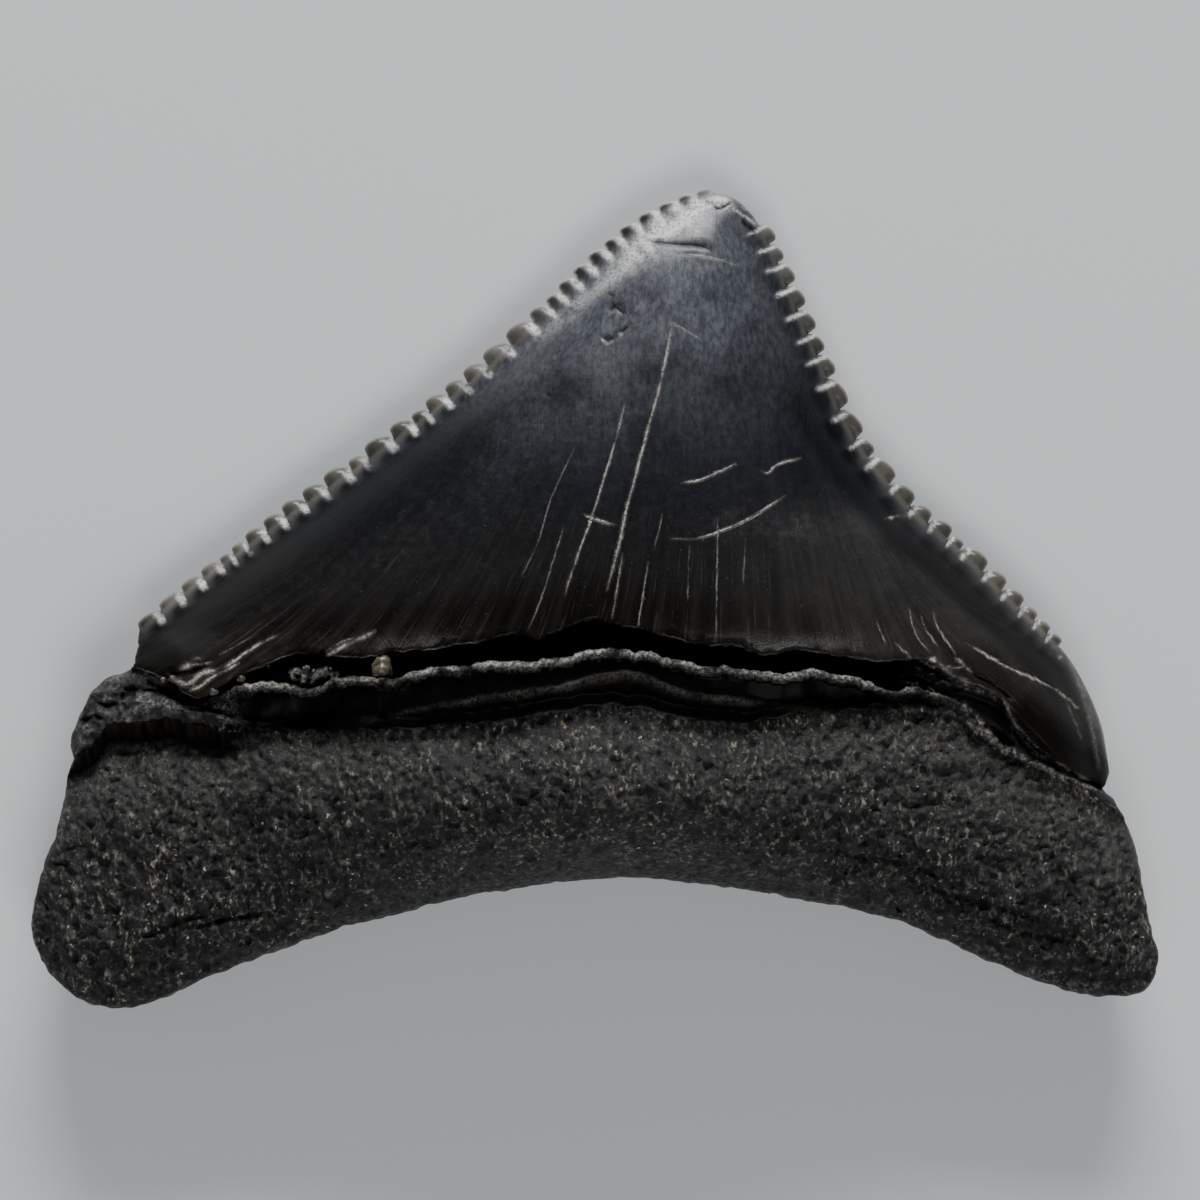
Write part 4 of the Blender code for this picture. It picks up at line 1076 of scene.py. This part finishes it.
class Nodes:
    """Short words for building a material's nodes. Sizes are in millimetres on the tooth."""

    def __init__(self, name):
        self.material = bpy.data.materials.new(name)
        self.material.use_nodes = True
        self.tree = self.material.node_tree
        self.shader = self.tree.nodes["Principled BSDF"]
        self.place = self.stretched(self.add("ShaderNodeTexCoord").outputs["Object"], (1 / MM,) * 3)
        self.colour = None

    def add(self, kind, **settings):
        node = self.tree.nodes.new(kind)
        for name, value in settings.items():
            setattr(node, name, value)
        return node

    def feed(self, socket, value):
        if isinstance(value, bpy.types.NodeSocket):
            self.tree.links.new(value, socket)
        else:
            socket.default_value = value

    def stretched(self, place, amounts):
        node = self.add("ShaderNodeVectorMath", operation="MULTIPLY")
        self.feed(node.inputs[0], place)
        self.feed(node.inputs[1], amounts)
        return node.outputs[0]

    def along_fan(self):
        """A place for textures that run along the enamel's fine growth lines."""
        join, split = self.add("ShaderNodeCombineXYZ"), self.add("ShaderNodeSeparateXYZ")
        self.feed(split.inputs[0], self.place)
        self.feed(join.inputs["X"], self.look("fan"))
        self.feed(join.inputs["Y"], self.product(split.outputs["Y"], 0.05))
        return join.outputs[0]

    def math(self, operation, a, b):
        node = self.add("ShaderNodeMath", operation=operation)
        self.feed(node.inputs[0], a)
        self.feed(node.inputs[1], b)
        return node.outputs[0]

    def chain(self, operation, values):
        found = values[0]
        for value in values[1:]:
            found = self.math(operation, found, value)
        return found

    def product(self, *values):
        return self.chain("MULTIPLY", values)

    def total(self, *values):
        return self.chain("ADD", values)

    def most(self, *values):
        return self.chain("MAXIMUM", values)

    def less(self, share, whole=1.0):
        """What the share leaves of the whole."""
        return self.math("SUBTRACT", whole, share)

    def look(self, name):
        return self.add("ShaderNodeAttribute", attribute_name=name).outputs["Fac"]

    def looks(self, *names):
        return [self.look(name) for name in names]

    def noise(self, size, detail, roughness, place=None, bend=0.0):
        node = self.add("ShaderNodeTexNoise")
        self.feed(node.inputs["Vector"], place or self.place)
        node.inputs["Scale"].default_value = 1 / size
        node.inputs["Detail"].default_value = detail
        node.inputs["Roughness"].default_value = roughness
        node.inputs["Distortion"].default_value = bend
        return node.outputs["Fac"]

    def cells(self, size):
        node = self.add("ShaderNodeTexVoronoi")
        self.feed(node.inputs["Vector"], self.place)
        node.inputs["Scale"].default_value = 1 / size
        return node.outputs["Distance"]

    def band(self, value, low, high, to_low=0.0, to_high=1.0):
        """Eases from one value to another as the input goes from low to high."""
        node = self.add("ShaderNodeMapRange", interpolation_type="SMOOTHSTEP")
        names = ("Value", "From Min", "From Max", "To Min", "To Max")
        for name, given in zip(names, (value, low, high, to_low, to_high)):
            self.feed(node.inputs[name], given)
        return node.outputs["Result"]

    def blend(self, share, a, b):
        """Mixes two colours, each a colour by its numbers or one from a node."""
        node = self.add("ShaderNodeMix", data_type="RGBA")
        self.feed(node.inputs[0], share)
        for socket, colour in ((node.inputs[6], a), (node.inputs[7], b)):
            self.feed(socket, (*colour, 1) if isinstance(colour, tuple) else colour)
        return node.outputs[2]

    def mottled(self, texture, low, high, a, b):
        """One colour where the texture is low, easing to the other where it is high."""
        return self.blend(self.band(texture, low, high), a, b)

    def coat(self, colour, *shares):
        """Lays a colour over the material's own, as fully as the product of the shares."""
        self.colour = self.blend(self.product(*shares), self.colour, colour)

    def bump(self, height, depth, strength, under=None):
        """Relief of the given depth in millimetres, over the relief below it."""
        node = self.add("ShaderNodeBump")
        node.inputs["Strength"].default_value = strength
        node.inputs["Distance"].default_value = depth * MM
        self.feed(node.inputs["Height"], height)
        if under is not None:
            self.feed(node.inputs["Normal"], under)
        return node.outputs["Normal"]

    def gloss(self, level, index):
        self.feed(self.shader.inputs["Specular IOR Level"], level)
        self.feed(self.shader.inputs["IOR"], index)

    def finish(self, roughness, relief):
        self.feed(self.shader.inputs["Base Color"], self.colour)
        self.feed(self.shader.inputs["Roughness"], roughness)
        self.feed(self.shader.inputs["Normal"], relief)
        return self.material


# Colours of the enamel, as linear red, green and blue
BLUE_BLACK, SLATE = (0.0016, 0.0021, 0.0038), (0.0048, 0.0058, 0.0095)
BROWN_BLACK, BROWN = (0.0040, 0.0034, 0.0028), (0.0125, 0.0100, 0.0080)
# the first is a painted sheen, low on the right of the blade
BROWN_SHEEN, STREAK, SPECK = (0.048, 0.045, 0.042), (0.046, 0.038, 0.031), (0.10, 0.10, 0.105)
# painted sheen, partly a dull haze, on the upper blade
DARK_HAZE_SHEEN, PALE_HAZE_SHEEN = (0.042, 0.046, 0.057), (0.138, 0.148, 0.172)
ENAMEL_SHADE = (0.0015, 0.0015, 0.0015)
# partly whitish wear and partly painted highlight: the patch beside the tip and on the serrations
WEAR_AND_HIGHLIGHT_GREY, WEAR_AND_HIGHLIGHT_WHITE = (0.20, 0.19, 0.18), (0.97, 0.96, 0.94)
DARK_TAUPE, TAUPE, TIP_TAUPE = (0.055, 0.050, 0.042), (0.155, 0.142, 0.118), (0.022, 0.019, 0.016)
KNOB_RIM, TIP_RIM = (0.24, 0.225, 0.20), (0.60, 0.58, 0.54)
SCRATCH_GREY, SCRATCH_WHITE = (0.16, 0.145, 0.125), (0.60, 0.57, 0.52)

# Colours of the root, of the smooth band and of the broken parts between
ROOT_BLACK, ROOT_GREY = (0.0019, 0.0020, 0.0024), (0.0205, 0.0200, 0.0198)
DARK_DUST, DUST = (0.017, 0.017, 0.0168), (0.066, 0.064, 0.059)
DULL_SPECK, TAN_SPECK, WHITE_SPECK = (0.130, 0.120, 0.099), (0.250, 0.224, 0.172), (0.55, 0.53, 0.48)
# painted shade: the crevices between the root's grains and its pits
CREVICE_SHADE, PIT_SHADE = (0.0022, 0.0023, 0.003), (0.003, 0.003, 0.0035)
BAND_BLACK, BAND_GREY, THIRD_BROWN = (0.0012, 0.0012, 0.0013), (0.0035, 0.003, 0.003), (0.046, 0.041, 0.036)
PLATE_BLACK, PLATE_GREY, WALL_BROWN = (0.014, 0.014, 0.015), (0.24, 0.24, 0.23), (0.016, 0.0125, 0.0095)
CHALK_GREY, CHALK_WHITE = (0.10, 0.096, 0.088), (0.56, 0.54, 0.50)
# painted shade, laid into the crack, the dents, the crevices and the other shaded places
SHADE_BLACK = (0.0008, 0.0008, 0.0008)
AMBER_GRAIN, PALE_GRAIN = (0.105, 0.088, 0.058), (0.105, 0.097, 0.082)


def enamel_material():
    """Blue-black glossy enamel, browner and finely lined towards its base, with taupe serrations, painted
    sheen and highlights, and painted shade in its dents and shaded zones.
    """
    n = Nodes("enamel")
    low, knob, pale, haze_and_sheen, wear_and_highlight, tip = n.looks("low", "knob", "pale", "haze_and_sheen", "wear_and_highlight", "worn")
    # painted shade: in the dents, and along the cutting edges, above the lip and low on the right heel
    dark = n.most(n.look("dark"), n.product(n.look("shade"), 0.9))
    glow = n.product(n.look("glow"), n.less(dark))
    fan = n.along_fan()
    lines, broad_lines = n.noise(0.10, 3.0, 0.6, fan), n.noise(0.6, 3.0, 0.6, fan)
    n.colour = n.mottled(n.noise(0.8, 4.0, 0.6, fan), 0.35, 0.7, BLUE_BLACK, SLATE)
    n.coat(n.mottled(broad_lines, 0.35, 0.7, BROWN_BLACK, BROWN), low)
    # painted sheen, low on the right of the blade
    n.coat(BROWN_SHEEN, n.look("brown_sheen"), n.band(broad_lines, 0.25, 0.6, 0.15, 0.31))
    brushed = n.noise(0.16, 5.0, 0.75, n.stretched(n.place, (1, 0.4, 1)))
    # painted sheen, partly a dull haze, on the upper blade
    n.coat(n.mottled(brushed, 0.33, 0.70, DARK_HAZE_SHEEN, PALE_HAZE_SHEEN), haze_and_sheen)
    n.coat(STREAK, n.band(lines, 0.55, 0.74), n.most(low, 0.12), 0.65)
    n.coat(SPECK, n.band(n.noise(0.065, 2.0, 0.6), 0.68, 0.78), 0.75)
    n.coat(ENAMEL_SHADE, dark, 0.8)
    # painted highlight, partly whitish wear: the bright patch beside the tip
    whitish = n.mottled(n.noise(0.12, 5.0, 0.85), 0.38, 0.54, WEAR_AND_HIGHLIGHT_GREY, WEAR_AND_HIGHLIGHT_WHITE)
    n.coat(whitish, glow, 0.95)
    taupe = n.blend(n.look("seed"), DARK_TAUPE, TAUPE)
    n.coat(n.blend(tip, taupe, TIP_TAUPE), knob, 0.9)
    n.coat(n.blend(tip, KNOB_RIM, TIP_RIM), n.look("rim"), 0.75)
    # painted highlights on the serrations, partly whitish wear
    n.coat(whitish, wear_and_highlight, 0.95)
    n.coat(n.mottled(n.noise(0.12, 3.0, 0.7), 0.35, 0.6, SCRATCH_GREY, SCRATCH_WHITE), pale, 0.9)
    dull = n.product(n.most(dark, n.look("matte")), 0.33)
    n.gloss(n.total(n.less(dull, 0.38), n.product(glow, 0.5)), 1.55)
    worn = n.most(glow, wear_and_highlight, pale)
    roughness = n.band(n.noise(0.35, 4.0, 0.7), 0.3, 0.75, 0.17, 0.30)
    roughness = n.total(roughness, n.product(haze_and_sheen, 0.2), n.product(knob, 0.12), n.product(worn, 0.22))
    relief = n.bump(lines, 0.010, 0.5)
    relief = n.bump(n.noise(0.05, 3.0, 0.6), 0.006, 0.6, relief)
    relief = n.bump(n.product(worn, n.noise(0.12, 4.0, 0.75)), 0.05, 0.9, relief)
    return n.finish(roughness, n.bump(n.noise(0.22, 2.0, 0.5), 0.010, 0.5, relief))


def root_material():
    """Dull dark grey root with tan and white specks, the smooth black band and the pale broken rim, with
    painted shade in its pits, crevices and crack and painted glints on the broken corner.
    """
    n = Nodes("root")
    root, pale, pit, dust = n.looks("root", "pale", "pit", "dust")
    tall = n.stretched(n.place, (1, 0.55, 1))
    bare = n.product(n.less(n.product(n.look("smooth"), 0.85)), n.less(n.product(dust, 0.55)))
    n.colour = n.mottled(n.noise(0.18, 5.0, 0.7), 0.38, 0.66, ROOT_BLACK, ROOT_GREY)
    n.coat(n.mottled(n.noise(0.07, 4.0, 0.75), 0.40, 0.62, DARK_DUST, DUST), dust, 0.95)
    here = n.band(n.noise(0.7, 3.0, 0.6), 0.36, 0.60)
    n.coat(DULL_SPECK, n.band(n.noise(0.22, 3.0, 0.65, tall, bend=0.3), 0.50, 0.61), here, bare, 0.85)
    clusters = n.band(n.noise(1.2, 2.0, 0.5), 0.38, 0.58)
    n.coat(TAN_SPECK, n.band(n.noise(0.19, 2.0, 0.55, tall, bend=0.2), 0.57, 0.66), clusters, bare, 0.95)
    n.coat(WHITE_SPECK, n.band(n.noise(0.16, 1.0, 0.5, bend=0.5), 0.71, 0.77), bare, 0.85)
    # painted shade: dark crevices between the root's grains
    n.coat(CREVICE_SHADE, n.band(n.noise(0.21, 4.0, 0.7, tall), 0.53, 0.44), bare, 0.85)
    # painted shade in the pits and pores
    n.coat(PIT_SHADE, pit, n.less(n.product(dust, 0.4), 0.85))
    stone = n.colour
    n.colour = n.mottled(n.noise(0.4, 3.0, 0.6), 0.3, 0.7, BAND_BLACK, BAND_GREY)
    n.coat(THIRD_BROWN, n.look("brown"), n.band(n.noise(0.11, 4.0, 0.75), 0.36, 0.60), 0.9)
    n.coat(stone, root)
    # painted glints: the corner block's front in lighter grey patches, partly its paler stone and partly
    # painted highlight
    glint = n.mottled(n.noise(0.10, 4.0, 0.7), 0.45, 0.62, PLATE_BLACK, PLATE_GREY)
    lit = n.band(n.noise(0.5, 3.0, 0.6), 0.34, 0.55)
    n.coat(glint, n.look("plate"), lit, n.less(n.product(pit, 0.9)), 0.85)
    n.coat(WALL_BROWN, n.look("wall"), 0.9)
    n.coat(n.mottled(n.noise(0.13, 4.0, 0.7), 0.40, 0.64, CHALK_GREY, CHALK_WHITE), pale, 0.92)
    # painted shade: the crack, the dents, the crevices and cracks, and below the block's wall
    black = n.most(n.look("deep"), n.product(n.look("dark"), 0.9), n.product(n.look("shade"), 0.8))
    n.coat(SHADE_BLACK, black)
    n.gloss(n.product(n.band(root, 0.6, 1.0, 0.03, 0.36), n.less(black)), 1.5)
    stone_roughness = n.band(n.noise(0.2, 3.0, 0.6), 0.3, 0.7, 0.36, 0.7)
    roughness = n.total(n.product(root, stone_roughness), n.product(n.less(root), 0.3), n.product(pale, 0.4))
    relief = n.bump(n.product(n.cells(0.28), root), -0.14, 0.8)
    crumbs = n.product(n.noise(0.13, 5.0, 0.75), n.total(root, n.product(pale, 0.3)))
    return n.finish(roughness, n.bump(crumbs, 0.10, 0.8, relief))


def grain_material(kind, colour, roughness):
    n = Nodes("grain_" + kind)
    speckle = n.noise(0.12, 3.0, 0.6)
    n.colour = n.mottled(speckle, 0.35, 0.65, tuple(0.35 * c for c in colour), colour)
    return n.finish(roughness, n.bump(speckle, 0.02, 0.6))


def lodged_grains():
    """The sediment grains wedged in the crack, as one piece of small uneven lumps."""
    places = from_photo([grain[0] for grain in LODGED])
    levels = level_below_lip(Spots(places, outlines()[0]))[0]
    shape = bmesh.new()
    bmesh.ops.create_icosphere(shape, subdivisions=3, radius=1)
    ball = np.array([corner.co[:] for corner in shape.verts])
    ball_faces = np.array([[corner.index for corner in face.verts] for face in shape.faces])
    shape.free()
    corners, faces, kinds = [], [], []
    for i, ((x, y), level, (_, size, drop, kind)) in enumerate(zip(places, levels, LODGED)):
        apart = Vector((7 * i, 0, 0))
        uneven = 1 + GRAIN_RELIEF * np.array([noise.noise(Vector(c) * 1.4 + apart) for c in ball])
        faces.append(ball_faces + len(ball) * i)
        corners.append(np.round(ball * uneven[:, None], 1) * size + (x, y, level - drop))
        kinds += [0 if kind == "amber" else 1] * len(ball_faces)
    mesh = bpy.data.meshes.new("lodged_grains")
    mesh.from_pydata((np.concatenate(corners) * MM).tolist(), [], np.concatenate(faces).tolist())
    mesh.polygons.foreach_set("material_index", np.array(kinds, np.int32))
    mesh.shade_smooth()
    grains = bpy.data.objects.new("lodged_grains", mesh)
    bpy.context.scene.collection.objects.link(grains)
    return grains


def plain_floor():
    bpy.ops.mesh.primitive_plane_add(size=4)
    floor = bpy.context.object
    floor.name = "floor"
    material = bpy.data.materials.new("floor")
    material.use_nodes = True
    inputs = material.node_tree.nodes["Principled BSDF"].inputs
    inputs["Base Color"].default_value = (0.72, 0.73, 0.74, 1)
    inputs["Roughness"].default_value = 0.8
    floor.data.materials.append(material)


def area_light(name, toward, distance, size, power):
    data = bpy.data.lights.new(name, "AREA")
    data.shape = "RECTANGLE"
    data.size, data.size_y = size
    data.energy = power
    light = bpy.data.objects.new(name, data)
    direction = Vector(toward).normalized()
    light.location = direction * distance
    light.rotation_mode = "QUATERNION"
    light.rotation_quaternion = direction.to_track_quat("Z", "Y")
    bpy.context.scene.collection.objects.link(light)


def studio():
    world = bpy.data.worlds.new("studio")
    world.use_nodes = True
    inputs = world.node_tree.nodes["Background"].inputs
    inputs["Color"].default_value = (0.75, 0.79, 0.85, 1)
    inputs["Strength"].default_value = 0.2
    bpy.context.scene.world = world
    area_light("key", (0.04, 0.92, 0.38), 0.5, (0.26, 0.12), 3.3)
    area_light("front", (0.15, -0.62, 0.9), 0.6, (0.35, 0.3), 1.7)


CAMERA_DISTANCE = 0.22
CAMERA_PLANE = 0.0022  # height of the cutting edge and the root's rim, which the scale holds for
SENSOR = 36.0


def photo_camera():
    data = bpy.data.cameras.new("camera")
    data.sensor_width = SENSOR
    data.lens = SENSOR * CAMERA_DISTANCE / (2 * PHOTO_MIDDLE[0] * PIXEL * MM)
    data.clip_start, data.clip_end = 0.01, 10
    camera = bpy.data.objects.new("camera", data)
    x, y = from_photo([PHOTO_MIDDLE])[0] * MM
    camera.location = (x, y, CAMERA_PLANE + CAMERA_DISTANCE)
    bpy.context.scene.collection.objects.link(camera)
    bpy.context.scene.camera = camera


plain_floor()
studio()
photo_camera()
tooth = tooth_surface()
tooth.data.materials.append(enamel_material())
tooth.data.materials.append(root_material())
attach(tooth, "root")
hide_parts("tooth")

grains = lodged_grains()
grains.data.materials.append(grain_material("amber", AMBER_GRAIN, 0.35))
grains.data.materials.append(grain_material("pale", PALE_GRAIN, 0.6))
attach(grains, "root")
